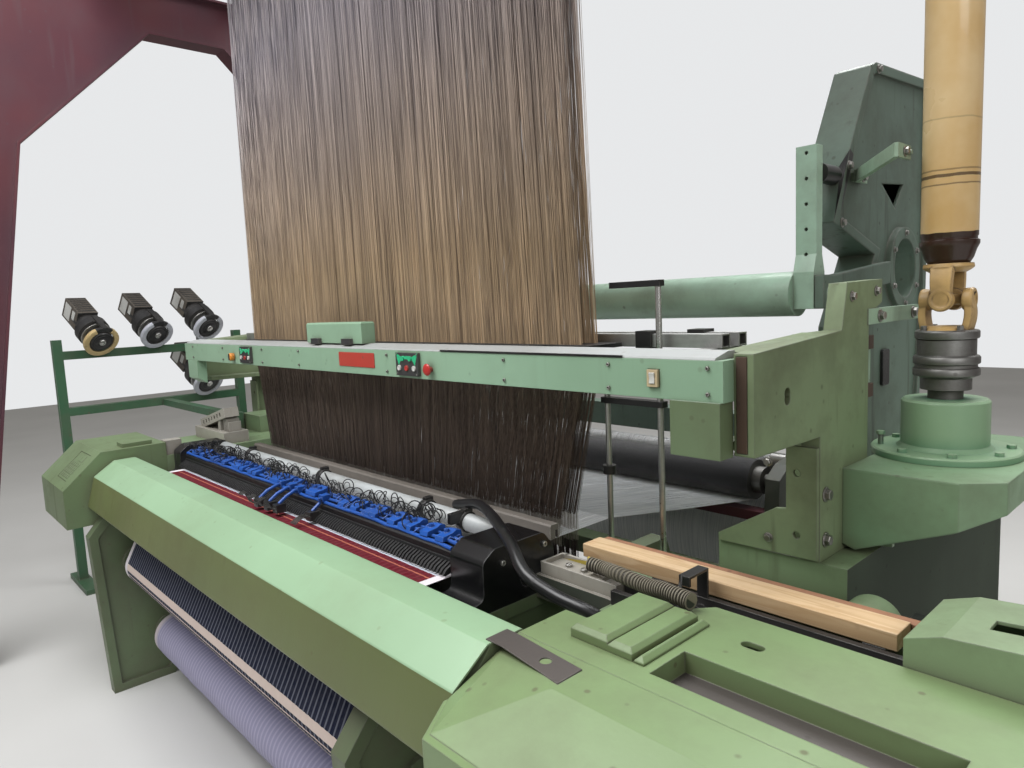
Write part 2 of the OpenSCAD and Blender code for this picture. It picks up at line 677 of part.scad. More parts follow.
// Push-button boxes on the beam's face, and the green box on its top
button_z = beam_z + 32;
lamp_z = beam_z + 62;
box_w = 120;
box_left_x = -860;
box_right_x = 396;
setting_x = beam_left + 649;
knob_r = 10;
mushroom_x = warp_half * 0.6;
switch_x = arm_x - 169;
switch_z = beam_z + 44;
box_d = 10;
module button_box(x0) {
    difference() {
        box([x0, beam_y - box_d, beam_z + 8], [x0 + box_w, beam_y, beam_z + beam_h - 6]);
        for (i = [0:2])
            ycyl(beam_y - box_d - 1, beam_y + 1, x0 + box_w * (i + 0.5) / 3, button_z, button_r + gap);
    }
}
module control_boxes() {
    color([0.12, 0.12, 0.13]) {
        button_box(box_left_x);
        button_box(box_right_x);
    }
    color([0.15, 0.65, 0.35]) for (x0 = [box_left_x, box_right_x], i = [0:1])
        ycyl(beam_y - box_d - 4, beam_y - box_d, x0 + box_w * (i + 1) / 3, lamp_z, 8);
    color([0.60, 0.76, 0.60]) hull() {
        box([-264, beam_y + 24, beam_z + beam_h + 16], [141, beam_y + 78, beam_z + beam_h + 86]);
        box([-260, beam_y + 28, beam_z + beam_h + 20], [137, beam_y + 74, beam_z + beam_h + 92]);
    }
    color([0.10, 0.10, 0.10]) for (x = [-210, 20])
        box([x, beam_y + 10, beam_z + beam_h + 13], [x + 60, beam_y + 24, beam_z + beam_h + 34]);
}
module push_button(x0, i) {
    ycyl(beam_y - box_d - 5, beam_y - button_travel - 1, x0 + box_w * (i + 0.5) / 3, button_z, button_r);
}
module button_l1() color([0.88, 0.88, 0.88]) push_button(box_left_x, 0);
module button_l2() color([0.80, 0.15, 0.15]) push_button(box_left_x, 1);
module button_l3() color([0.88, 0.88, 0.88]) push_button(box_left_x, 2);
module button_r1() color([0.88, 0.88, 0.88]) push_button(box_right_x, 0);
module button_r2() color([0.80, 0.15, 0.15]) push_button(box_right_x, 1);
module button_r3() color([0.88, 0.88, 0.88]) push_button(box_right_x, 2);
module stop_mushroom() {
    color([0.70, 0.12, 0.12]) translate([mushroom_x, beam_y - 22, button_z]) rotate([-90, 0, 0])
        rotate_extrude() polygon([[0, 0], [12, 0], [17, 4], [18, 9], [8, 11], [8, 27], [0, 27]]);
}
module setting_knob() {
    color([0.85, 0.50, 0.12]) translate([setting_x, beam_y - 22, button_z]) rotate([-90, 0, 0])
        rotate_extrude() polygon([[0, 0], [15, 0], [18, 5], [18, 20], [knob_r, 21], [knob_r, 27], [0, 27]]);
    color([0.10, 0.10, 0.10]) box([setting_x - 3, beam_y - 26, button_z - 14], [setting_x + 3, beam_y - 22, button_z + 14]);
}
module light_switch() {
    color([0.80, 0.74, 0.58]) difference() {
        box([switch_x - 14.5, beam_y - 8, switch_z - 19.5], [switch_x + 14.5, beam_y + 3, switch_z + 19.5]);
        translate([switch_x, beam_y - 2, switch_z - 20]) cylinder(h = 40, r = 1.5);
    }
}

// Arms: ribbed brackets that carry the beam, with a column and a bolted leg
module arm(leg_bottom, front) {
    difference() {
        union() {
            yz(arm_x, arm_x + arm_t) polygon([[front, 1266], [300, 1262], [300, leg_bottom], [575, leg_bottom],
                [575, 1530], [660, 1560], [660, column_z + 24], [443, column_z + 17], [415, 1501], [front, 1478]]);
            box([arm_x - 85, 430, leg_bottom], [arm_x, 575, 1490]);
            box([arm_x - 32, 289, leg_bottom + 6], [arm_x + arm_t - 2, 300, 1236]);
            yz(arm_x - 60, arm_x) polygon([[beam_y + beam_d, 1460], [430, 1475], [430, 1495], [beam_y + beam_d, 1478]]);
            yz(arm_x - 60, arm_x) polygon([[44, 1266], [300, 1262], [430, 1240], [430, 1262], [300, 1282], [44, 1286]]);
        }
        xcyl(arm_x - 1, arm_x + arm_t + 1, [140, 1382], 13);
        xcyl(arm_x - 1, arm_x + arm_t + 1, [140, 1370], 13);
        for (z = [1171, 1020]) ycyl(280, 310, arm_x - 6, z, 9);
        box([arm_x + 5, front - 1, 1272], [arm_x + 30, front + 3, 1472]);
    }
}
module right_arm() {
    color([0.45, 0.53, 0.37]) {
        arm(base_z, 0);
        xz(289, 301) polygon([[housing_x + 6, base_z + 3], [housing_x + 6, 984], [arm_x - 60, 1077], [arm_x - 25, 1082],
            [arm_x - 25, base_z + 6]]);
    }
    color([0.55, 0.68, 0.52]) box([arm_x + arm_t - 10, 565, 1506], [arm_x + arm_t + 3, 930, 1546]);
}
module left_arm() {
    color([0.45, 0.53, 0.37]) mirror([1, 0, 0]) arm(985, beam_y + beam_d);
    color([0.40, 0.48, 0.34]) box([-arm_x - arm_t, 289, 940], [left_end, 575, 985]);
}

// Gearbox: cast case with a slanted underside and a cut-off corner
module gearbox() {
    x0 = arm_x + arm_t;
    color([0.42, 0.53, 0.38]) difference() {
        intersection() {
            xz(424, 1060) polygon([[x0, 976], [x0 + 30, 966], [x0 + 240, 1050], [x0 + 325, 1093],
                [x0 + 325, gearbox_z], [x0, gearbox_z]]);
            translate([x0, 0, 900]) linear_extrude(300)
                polygon([[0, 424], [250, 424], [325, 490], [325, 1000], [250, 1060], [0, 1060]]);
        }
        translate([drive_x, drive_y, 1050]) cylinder(h = 200, r = shaft_r + fit);
        for (y = [500, 900]) xcyl(x0 - 1, x0 + 20, [y, 1120], 8);
    }
    color([0.36, 0.45, 0.33]) {
        for (y = [470:120:950]) xz(y, y + 14) polygon([[x0, 1010], [x0, 965], [x0 + 100, 975], [x0 + 100, 1040]]);
        box([x0, 575, base_z], [x0 + 50, 900, 985]);
    }
}

// Turret: flanged pivot housing with eight bolts, one of them standing proud
module turret() {
    color([0.52, 0.68, 0.48]) translate([drive_x, drive_y, gearbox_z]) difference() {
        rotate_extrude() polygon([[shaft_r + fit, 0], [turret_flange_r, 0], [turret_flange_r, 14],
            [turret_flange_r - 4, 18], [turret_r + 10, 18], [turret_r, 28], [turret_r, turret_z - gearbox_z - 6],
            [turret_r - 6, turret_z - gearbox_z], [shaft_r + fit, turret_z - gearbox_z]]);
        for (a = [22.5:45:360]) rotate(a) translate([turret_flange_r - 24, 0, -1]) cylinder(h = 30, r = 7);
    }
    color([0.50, 0.64, 0.46]) for (i = [0:7]) {
        up = i == 4 ? 26 : 0;
        translate([drive_x, drive_y, gearbox_z]) rotate(22.5 + i * 45) translate([turret_flange_r - 24, 0, 0]) {
            cylinder(h = 18 + up, r = 6.9);
            translate([0, 0, 18 + up]) cylinder(h = 9, r = 11, $fn = 6);
        }
    }
}

// Drive shaft: coupling discs, two universal joints and the long tube
lower_z = turret_z + 4;
joint_z = 1560;
tube_z0 = 1640;
tube_z1 = 3300;
upper_joint_z = 3380;
drive_top = portal_z + long_h;
module fork(z0, z1, r, ang) {
    translate([drive_x, drive_y, 0]) rotate(ang)
        for (s = [-1, 1]) translate([s * (r - 16) - 12, -26, min(z0, z1)]) cube([24, 52, abs(z1 - z0)]);
}
module cross_pins(z, r) {
    translate([drive_x, drive_y, z]) {
        for (a = [0, 90]) rotate(a) translate([-r, 0, 0]) rotate([0, 90, 0]) cylinder(h = 2 * r, r = 14);
        cylinder(h = 40, r = 24, center = true);
    }
}
module joint_set(z, r) {
    cross_pins(z, r);
    fork(z - 90, z + 26, r, 0);
    fork(z + 90, z - 26, r, 90);
    translate([drive_x, drive_y, z - 104]) cylinder(h = 16, r = r);
    translate([drive_x, drive_y, z + 88]) cylinder(h = 16, r = r);
}
module drive_shaft() {
    color([0.35, 0.35, 0.36]) {
        translate([drive_x, drive_y, gearbox_z - 100]) cylinder(h = 300, r = shaft_r);
        translate([drive_x, drive_y, 0]) rotate_extrude() polygon([[0, lower_z + 20], [58, lower_z + 20],
            [58, lower_z + 52], [75, lower_z + 56], [75, lower_z + 74], [69, lower_z + 76], [69, lower_z + 84],
            [75, lower_z + 86], [75, lower_z + 104], [66, lower_z + 108], [66, 1462], [0, 1462]]);
    }
    color([0.72, 0.58, 0.34]) {
        joint_set(joint_z, 56);
        joint_set(upper_joint_z, 56);
        translate([drive_x, drive_y, 0]) rotate_extrude() polygon([[0, 1660], [50, 1660], [58, 1690],
            [tube_r - 4, 1700], [tube_r - 4, 1712], [tube_r, 1716], [tube_r, tube_z1 - 60], [54, tube_z1 - 20], [0, tube_z1 - 8]]);
    }
    color([0.40, 0.40, 0.40]) translate([drive_x, drive_y, upper_joint_z + 100]) cylinder(h = drive_top - upper_joint_z + 30, r = shaft_r - 6);
}

// Beam stands: tall castings with a leaning front, a window and a flanged bore
stand_face = [[960, base_z], [1520, base_z], [1590, 1600], [1600, stand_z], [1100, stand_z - 26], [1066, stand_z - 40],
    [912, 2009], [803, 1792], [1108, 1703], [1040, 1600], [960, 1480]];
stand_window = [[1190, 1932], [1384, 1944], [1313, 1858]];
stand_bore = [1358, 1660];
lever_x1 = stand_x - 4;
lever_x0 = lever_x1 - 60;
lever_top = stand_z - 315;
pin_r = 20;
module beam_stand() {
    difference() {
        union() {
            for (x = [stand_x - 24, stand_x - stand_t + 12]) yz(x, x + 12) polygon(stand_face);
            yz(stand_x - stand_t, stand_x - 2) polygon(inset(stand_window, -14));
            yz(stand_x - stand_t, stand_x) difference() {
                polygon(stand_face);
                polygon(inset(stand_face, 30));
            }
            xcyl(stand_x - stand_t, stand_x + 8, stand_bore, 138);
            yz(stand_x, stand_x + 26) polygon([[680, 1546], [760, 1546], [1040, 1600], [1170, 1610],
                [1170, 1680], [760, 1640], [680, 1640]]);
        }
        xcyl(stand_x - stand_t - 1, stand_x + 9, stand_bore, 100);
        yz(stand_x - stand_t - 1, stand_x + 9) polygon(stand_window);
        xcyl(stand_x - 1, stand_x + 27, [swing_y, swing_z], pin_r + fit);
        for (a = [30:60:360]) xcyl(stand_x, stand_x + 9, stand_bore + 119 * [cos(a), sin(a)], 6);
    }
}
buffer_z = stand_z - 385;
buffer_y = swing_y + 42;
module buffer() {
    ycyl(buffer_y, buffer_y + 90, stand_x - 26, buffer_z, 28);
    ycyl(swing_y + 18 + seat, buffer_y, stand_x - 26, buffer_z, 8);
    ycyl(buffer_y + 90, stand_face[6][0], stand_x - 26, buffer_z, 12);
}
module strap() {
    translate([0, 0, buffer_z - 15]) linear_extrude(35) {
        polygon([[stand_x, 940], [stand_x + 8, 940], [stand_x + 8, 1020], [stand_x, 1020]]);
        polygon([[stand_x, 958], [stand_x, 946], [drive_x - 92, 618], [drive_x - 82, 618], [drive_x - 82, 628], [stand_x + 8, 960]]);
        polygon([[drive_x - 90, 618], [drive_x - 82, 618], [drive_x - 82, 705], [drive_x - 90, 705]]);
    }
    xcyl(drive_x - 100, drive_x - 74, [688, buffer_z + 2], 6);
}
module beam_stands() {
    color([0.34, 0.42, 0.36]) both_sides() beam_stand();
    color([0.12, 0.12, 0.12]) both_sides() buffer();
    color([0.45, 0.58, 0.45]) strap();
    color([0.36, 0.44, 0.32]) {
        tie(-stand_x + stand_t, stand_x - stand_t, 1400, 980, 90, 110);
        box([-stand_x, 825, 930], [-stand_x + stand_t, 1520, base_z]);
        box([-stand_x, 825, 480], [-frame_out, 1000, 930]);
    }
}

// Swinging tube with an upright lever at each end
module lever() {
    difference() {
        union() {
            yz(lever_x0, lever_x1) polygon([[swing_y - 34, swing_z - 44], [swing_y + 34, swing_z - 44],
                [swing_y + 34, swing_z + 60], [swing_y + 18, swing_z + 110], [swing_y + 18, lever_top],
                [swing_y - 18, lever_top], [swing_y - 18, swing_z + 110], [swing_y - 34, swing_z + 60]]);
            xcyl(lever_x1, stand_x + 26, [swing_y, swing_z], pin_r);
        }
        for (z = [lever_top - 300:70:lever_top - 20]) ycyl(swing_y - 40, swing_y + 40, lever_x0 + 30, z, 5);
    }
}
module swing_tube() {
    color([0.46, 0.62, 0.50]) {
        both_sides() lever();
        difference() {
            xcyl(-lever_x0, lever_x0, [swing_y, swing_z], swing_r);
            xcyl(-lever_x0 + 20, lever_x0 - 20, [swing_y, swing_z], swing_r - 6);
        }
    }
}

// Guard rods between the frame and the housing, joined by black cross bars
rod_y = 186;
rod_a = frame_out - 18;
rod_b = rod_a + 174;
module guard_rods() {
    color([0.45, 0.47, 0.47]) {
        translate([rod_a, rod_y, frame_z]) cylinder(h = 1440 - frame_z, r = 8);
        translate([rod_b, rod_y, deck_z]) cylinder(h = 1640 - deck_z, r = 8);
    }
    color([0.10, 0.10, 0.10]) difference() {
        union() {
            box([rod_a - 14, rod_y - 12, 1318], [rod_b + 14, rod_y + 12, 1334]);
            box([rod_b - 150, rod_y - 10, 1626], [rod_b + 12, rod_y + 10, 1642]);
            translate([rod_a, rod_y, 1120]) cylinder(h = 24, r = 18);
            for (p = [[rod_a, frame_z], [rod_b, deck_z]]) translate([p[0], rod_y, p[1]]) cylinder(h = 18, r = 17);
        }
        translate([rod_a, rod_y, frame_z - 1]) cylinder(h = 600, r = 8);
        translate([rod_b, rod_y, deck_z - 1]) cylinder(h = 900, r = 8);
    }
}

// Gantry: two haunched portals of flanged steel and three long beams
haunch = 612;
opening_y0 = leg_front + post_w;
opening_y1 = 960;
leg_bend = portal_clear - haunch;
portal_inner = [[opening_y0 - leg_spread, 0], [opening_y0, leg_bend], [opening_y0 + haunch, portal_clear],
    [opening_y1 - haunch, portal_clear], [opening_y1, leg_bend], [opening_y1 + leg_spread, 0]];
portal_outer = [[front_edge, 0], [leg_front, leg_bend], [leg_front, portal_z], [opening_y1 + post_w, portal_z],
    [opening_y1 + post_w, leg_bend], [opening_y1 + post_w + leg_spread, 0]];
long_beams = [-250, 560];
web_at = section_w / 2 - 30;
module portal(x) {
    for (s = [-1, 1]) yz(x + s * web_at - section_t / 4, x + s * web_at + section_t / 4)
        polygon(concat(portal_outer, reversed(portal_inner)));
    yz(x - section_w / 2, x + section_w / 2) intersection() {
        union() {
            polygon(strip(portal_inner, 0, section_t));
            polygon(strip(portal_outer, 0, -section_t));
        }
        translate([front_edge, 0]) square([back_edge - front_edge, portal_z]);
    }
}
module base_plate(x, y) {
    difference() {
        box([x - 150, y - post_w / 2, 0], [x + 150, y + post_w / 2, 20]);
        for (dx = [-110, 110], dy = [-80, 80]) translate([x + dx, y + dy, -1]) cylinder(h = 22, r = 11);
    }
}
module long_beam(y, x0, x1) {
    box([x0, y - section_w / 2, portal_z], [x1, y + section_w / 2, portal_z + section_t]);
    box([x0, y - section_w / 2, portal_z + long_h - section_t], [x1, y + section_w / 2, portal_z + long_h]);
    for (s = [-1, 1]) box([x0, y + s * web_at - section_t / 4, portal_z + section_t - 1],
        [x1, y + s * web_at + section_t / 4, portal_z + long_h - section_t + 1]);
    for (x = [x0, x1 - 10]) box([x, y - web_at, portal_z + section_t - 1], [x + 10, y + web_at, portal_z + long_h - section_t + 1]);
}
module gantry() {
    color([0.45, 0.18, 0.20]) {
        for (x = [portal_left, portal_right]) {
            portal(x);
            for (y = [front_edge + post_w / 2, opening_y1 + leg_spread + post_w / 2]) base_plate(x, y);
        }
        for (y = long_beams) long_beam(y, portal_left - section_w / 2, portal_right + section_w / 2);
    }
}

// Harness head: ribbed casing with louvres, open below, and a bevel box for the drive
head_z = portal_z + long_h;
head_half = warp_half + 170;
head_wall = 12;
module jacquard_head() {
    color([0.44, 0.50, 0.46]) difference() {
        union() {
            box([-head_half, long_beams[0] - 40, head_z], [head_half, long_beams[1] + 40, head_z + head_h]);
            for (x = [-head_half:280:head_half - 10])
                box([x, long_beams[0] - 52, head_z], [x + 16, long_beams[1] + 52, head_z + head_h - 40]);
        }
        box([-head_half + head_wall, long_beams[0] - 40 + head_wall, head_z + head_wall],
            [head_half - head_wall, long_beams[1] + 40 - head_wall, head_z + head_h - head_wall]);
        box([-cord_half, 60, head_z - 1], [cord_half, 220, head_z + 20]);
        for (x = [-head_half + 50:280:head_half - 200], z = [head_z + 380:36:head_z + 560])
            box([x, long_beams[0] - 60, z], [x + 190, long_beams[0] - 20, z + 12]);
    }
    color([0.38, 0.44, 0.40]) {
        difference() {
            box([drive_x - 90, 500, head_z], [drive_x + 90, drive_y + 110, head_z + 160]);
            translate([drive_x, drive_y, head_z - 1]) cylinder(h = 140, r = shaft_r - 6 + fit);
        }
        xcyl(head_half, drive_x - 90, [560, head_z + 90], 34);
    }
}

// Harness: a ridged cord curtain, open between the cords where the warp passes
fan_top = head_z + 60;
fan_half = warp_half + 22;
cord_low = frame_z + lift + 8;
module harness(y) {
    fan_low = comber_z - 70;
    translate([0, y, 0]) {
        xz(-2, 2) polygon([[-cord_half, fan_low], [cord_half, fan_low], [fan_half, fan_top], [-fan_half, fan_top]]);
        for (i = [0:cord_n - 1]) {
            u = cord_x(i) / cord_half;
            xz(-4, 4) polygon([[u * cord_half - 4, fan_low - 2], [u * cord_half + 4, fan_low - 2],
                [u * fan_half + 4, fan_top - 2], [u * fan_half - 4, fan_top - 2]]);
        }
        box([-fan_half - 10, -10, fan_top], [fan_half + 10, 10, fan_top + 24]);
        difference() {
            union() {
                box([-cord_half, -2, cord_low], [cord_half, 2, fan_low]);
                box([-cord_half, -2, 620], [cord_half, 2, cord_low]);
                for (i = [0:cord_n - 1])
                    box([cord_x(i) - cord_w / 2, -3.5, 620], [cord_x(i) + cord_w / 2, 3.5, fan_low]);
            }
            for (i = [0:cord_n - 2])
                box([cord_x(i) + cord_w / 2, -5, warp_z - lift - 16], [cord_x(i + 1) - cord_w / 2, 5, warp_z + lift + 16]);
            for (s = [-1, 1])
                box([s > 0 ? warp_half + 8 : -cord_half - 1, -5, 610], [s > 0 ? cord_half + 1 : -warp_half - 8, 5, cord_low]);
        }
        box([-warp_half - 6, -6, 600], [warp_half + 6, 6, 622]);
    }
}
module harness_front() {
    color([0.52, 0.42, 0.28]) harness(front_y);
}
module harness_rear() {
    color([0.38, 0.30, 0.22]) harness(back_y);
}

// Feeder stand: square-tube posts and rails with four feeder bodies
feeder_places = [[-218, 1478], [98, 1501], [420, 1527], [387, 1163]];
module at_feeder(i) {
    translate([feeder_x + feeder_out, feeder_places[i][0], feeder_places[i][1]]) rotate([0, feeder_tilt, feeder_turn]) children();
}
module post(x, y, z0, z1) {
    box([x - stand_tube / 2, y - stand_tube / 2, z0], [x + stand_tube / 2, y + stand_tube / 2, z1]);
}
module feeder_body() {
    difference() {
        union() {
            rotate_extrude() polygon([[0, -feeder_len], [52, -feeder_len], [60, -feeder_len + 12],
                [60, -150], [92, -140], [92, -90], [60, -84], [60, -70], [0, -70]]);
            box([-74, -58, -feeder_len], [50, 58, 170 - feeder_len]);
        }
        box([-66, -50, 10 - feeder_len], [42, 50, 130 - feeder_len]);
        translate([0, 0, -feeder_len - 1]) cylinder(h = 20, r = 16);
    }
    rotate_extrude() polygon([[0, -58], [66, -58], [66, 0], [60, 8], [0, 8]]);
    rotate_extrude() polygon([[70, -12], [feeder_r, -14], [feeder_r, 4], [74, 4]]);
    translate([0, 0, -70]) cylinder(h = 12, r = 14);
    box([-feeder_r - 4, -16, -136], [9 - feeder_r, 16, 4]);
}
module feeder_stand() {
    color([0.20, 0.36, 0.24]) {
        for (y = [-433, 640]) {
            post(feeder_x, y, 30, 1500);
            box([feeder_x - 160, y - 40, 0], [feeder_x + 260, y + 40, 30]);
        }
        for (z = [1040, 1380])
            box([feeder_x - stand_tube / 2, -408, z], [feeder_x + stand_tube / 2, 615, z + stand_tube]);
        box([feeder_x + stand_tube / 2, 120, 1040], [left_end, 170, 1080]);
        box([left_end - 50, 120, 985], [left_end, 170, 1040]);
        box([left_end, 100, 985], [left_end + 60, 190, 1080]);
    }
    color([0.13, 0.13, 0.14]) for (i = [0:3]) {
        at_feeder(i) feeder_body();
        translate([feeder_x - 14, feeder_places[i][0] - 43, i == 3 ? 1080 : 1420])
            cube([28, 28, feeder_places[i][1] + 50 - (i == 3 ? 1080 : 1420)]);
    }
}
module flyer() {
    difference() {
        rotate_extrude() polygon([[14 + fit, -69], [88, -69], [88, -60], [14 + fit, -60]]);
        translate([70, 0, -80]) cylinder(h = 30, r = 5);
    }
}
module feeder_flyer_1() color([0.70, 0.70, 0.68]) at_feeder(0) flyer();
module feeder_flyer_2() color([0.70, 0.70, 0.68]) at_feeder(1) flyer();
module feeder_flyer_3() color([0.70, 0.70, 0.68]) at_feeder(2) flyer();
module feeder_flyer_4() color([0.70, 0.70, 0.68]) at_feeder(3) flyer();

// Weft selector and picking unit on the left housing
module weft_selector() {
    color([0.50, 0.44, 0.38]) {
        box([left_end + 40, -60, 985], [left_end + 430, 60, 1040]);
        box([left_end + 300, -36, 1040], [left_end + 330, 26, 1098]);
        translate([left_end + 80, -40, 1030]) rotate([0, -14, 0]) difference() {
            box([0, 0, 0], [340, 70, 46]);
            for (x = [30:40:290]) box([x, -1, 14], [x + 18, 71, 34]);
        }
        for (i = [0:3]) box([left_end + 360 + i * 18, -30, 1040], [left_end + 368 + i * 18, 30, 1130 - i * 14]);
    }
    color([0.48, 0.62, 0.46]) box([left_end + 20, 200, 985], [left_end + 240, 330, 1070]);
    color([0.55, 0.10, 0.10]) box([left_end + 180, 26, 1086], [left_end + 340, 44, 1098]);
    color([0.50, 0.50, 0.30]) box([left_end + 390, -330, 985], [left_end + 448, -260, 1050]);
}

// Hoses: the black one and the ribbed one, swept along their routes
black_route = [[640, -72.2, 1022.8], [800, -100, 1052], [960, -190, 1066], [1120, -300, 1058], [1240, -360, 1030],
    [1340, -330, 1010], [1410, -305, 990], [1428, -280, 965], [1428, -280, 948], [1428, -280, 930.3]];
ribbed_route = [[1220, -80, 974.3], [1270, -84, 976], [1340, -125, 995], [1420, -160, 1008], [1500, -186, 1024],
    [1560, -200, 1030], [1600, -204, 1027.3], [1640, -206, 1027.3]];
function route_dir(p, i) = unit(p[min(i + 1, len(p) - 1)] - p[max(i - 1, 0)]);
function ring(c, d, r, n) =
    let (s = unit(cross(d, [0, 1, 0])), u = cross(s, d))
    [for (k = [0:n - 1]) c + r * (s * cos(360 * k / n) + u * sin(360 * k / n))];
function smooth(p) = [
    for (i = [0:len(p) - 2], t = [0, 0.25, 0.5, 0.75])
        let (a = p[max(i - 1, 0)], b = p[i], c = p[i + 1], e = p[min(i + 2, len(p) - 1)])
        0.5 * (2 * b + (c - a) * t + (2 * a - 5 * b + 4 * c - e) * t * t + (3 * b - a - 3 * c + e) * t * t * t),
    p[len(p) - 1]
];
module sweep(p, r, ribs) {
    n = 10;
    m = len(p);
    pts = [for (i = [0:m - 1]) each ring(p[i], route_dir(p, i), ribs > 0 && i % 2 == 1 ? r + ribs : r, n)];
    sides = [for (i = [0:m - 2], k = [0:n - 1])
        [i * n + k, (i + 1) * n + k, (i + 1) * n + (k + 1) % n, i * n + (k + 1) % n]];
    ends = [[for (k = [0:n - 1]) k], [for (k = [n - 1:-1:0]) (m - 1) * n + k]];
    polyhedron(pts, concat(sides, ends), convexity = 4);
}
module hoses() {
    color([0.10, 0.10, 0.11]) sweep(smooth(black_route), 14, 0);
    color([0.42, 0.40, 0.34]) sweep(smooth(smooth(ribbed_route)), 20, 4);
}

// Take-up roller and cloth roll
module roller(c, r, x0, x1) {
    xcyl(x0, x1, c, r);
    xcyl(-frame_out, frame_out, c, journal_r);
}
module take_up_roller() {
    color([0.20, 0.20, 0.22]) {
        roller(takeup_c, takeup_r, -warp_half - 10, warp_half + 10);
        for (s = [-1, 1]) xcyl(s * (warp_half + 24) - 8, s * (warp_half + 24) + 8, takeup_c, 60);
    }
}
module cloth_roll() {
    color([0.75, 0.78, 0.86]) {
        roller(roll_c, roll_r, -warp_half, warp_half);
        for (s = [-1, 1]) xcyl(s * (warp_half + 20) - 20, s * (warp_half + 20) + 20, roll_c, 40);
    }
}

// Warp beam with yarn and ribbed flanges, and the back roller
module beam_flange() {
    difference() {
        xcyl(warp_half + 6, warp_half + 18, beam_c, flange_r);
        for (a = [0:60:300]) xcyl(warp_half + 5, warp_half + 19, beam_c + 200 * [cos(a), sin(a)], 50);
    }
    xcyl(warp_half + 18, warp_half + 36, beam_c, 90);
}
module warp_beam() {
    color([0.85, 0.85, 0.86]) xcyl(-warp_half - 6, warp_half + 6, beam_c, beam_yarn_r);
    color([0.50, 0.52, 0.52]) both_sides() beam_flange();
    color([0.40, 0.40, 0.40]) xcyl(-frame_out, frame_out, beam_c, journal_r);
}
module back_roller() {
    color([0.08, 0.08, 0.10]) {
        roller(back_c, back_r, -warp_half - 6, warp_half + 6);
        for (s = [-1, 1]) xcyl(s * (warp_half + 24) - 18, s * (warp_half + 24) + 18, back_c, 52);
    }
}

// Sley: rocking shaft, legs, beam and the row of guide teeth
sley_half = warp_half + 50;
sley_top = 866;
tooth_floor = 894;
cap_z = warp_z + 13;
sley_cords = [for (x = warp_cords) if (abs(x) + 30 < sley_half) x];
module guide_tooth() {
    yz(-2.5, 2.5) polygon([[-2, sley_top], [30, sley_top], [30, 922], [2, 922], [2, 917], [22, 917],
        [22, tooth_floor], [4, tooth_floor], [4, 906], [-2, 906]]);
}
module sley() {
    color([0.30, 0.31, 0.31]) {
        difference() {
            box([-sley_half, -5, 812], [sley_half, 78, sley_top]);
            box([-sley_half - 1, 8, 806], [sley_half + 1, 66, 852]);
        }
        for (u = [-0.9, -0.3, 0.3, 0.9]) yz(u * sley_half - 22, u * sley_half + 22)
            polygon([[20, rock_z], [88, rock_z], [76, 640], [78, 812], [-5, 812], [-5, 740], [30, 600]]);
        xcyl(-sley_half, sley_half, rock_c, 46);
        xcyl(-frame_out, frame_out, rock_c, rock_r);
    }
    color([0.55, 0.56, 0.56]) for (x = sley_cords) translate([x + 12, 0, 0]) guide_tooth();
}

// Reed: fine upright dents between a bottom rib and the broad cap
reed_y = 44;
module reed() {
    color([0.50, 0.50, 0.49]) {
        box([-sley_half, 34, sley_top], [sley_half, 56, sley_top + 16]);
        for (x = sley_cords) box([x - dent_w / 2, reed_y - 6, sley_top + 16], [x + dent_w / 2, reed_y + 6, cap_z + 2]);
    }
    color([0.47, 0.44, 0.40]) difference() {
        yz(-sley_half + 20, sley_half - 20) polygon([[30, cap_z], [64, cap_z], [64, cap_z + cap_h - 6],
            [58, cap_z + cap_h], [34, cap_z + cap_h], [30, cap_z + cap_h - 4]]);
        yz(-sley_half + 10, sley_half - 10) polygon([[52, cap_z - 4], [60, cap_z - 4], [60, cap_z + 24], [52, cap_z + 24]]);
    }
}

// Projectile: slim weft carrier that rides in the teeth
projectile_len = 90;
projectile_x = 40 - sley_half;
module projectile() {
    color([0.60, 0.61, 0.62]) hull() {
        box([projectile_x, 5, tooth_floor + seat], [projectile_x + projectile_len - 14, 20, tooth_floor + seat + 7]);
        box([projectile_x, 9, tooth_floor + seat + 2], [projectile_x + projectile_len, 16, tooth_floor + seat + 5]);
    }
}

place() left_frame();
place() right_frame();
place() cross_beams();
place() front_cover();
place() right_end_cover();
place() left_housing();
place() right_housing();
place() right_table();
place() table_lids();
place() end_guard();
place() guide_channel();
place() plank();
place() console();
place() cloth();
place() cutter_bar();
place() yarn_tube();
place() cheek_castings();
place() slide_box();
place() warp_sheet();
place() rear_castings();
place() comber_frame();
place() spring_box();
place() upper_beam();
place() beam_cover();
place() control_boxes();
place() left_arm();
place() right_arm();
place() gearbox();
place() turret();
place() beam_stands();
place() guard_rods();
place() gantry();
place() jacquard_head();
place() feeder_stand();
place() weft_selector();
place() hoses();
place() take_up_roller();
place() cloth_roll();
place() warp_beam();
place() back_roller();
place() sley();
place() reed();
place() projectile();
place() swing_tube();
place() harness_front();
place() harness_rear();
place() drive_shaft();
place() feeder_flyer_1();
place() feeder_flyer_2();
place() feeder_flyer_3();
place() feeder_flyer_4();
place() button_l1();
place() button_l2();
place() button_l3();
place() button_r1();
place() button_r2();
place() button_r3();
place() stop_mushroom();
place() setting_knob();
place() light_switch();
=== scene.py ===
import math
import random

import bmesh
import bpy
from mathutils import Matrix, Vector
from mathutils.geometry import tessellate_polygon


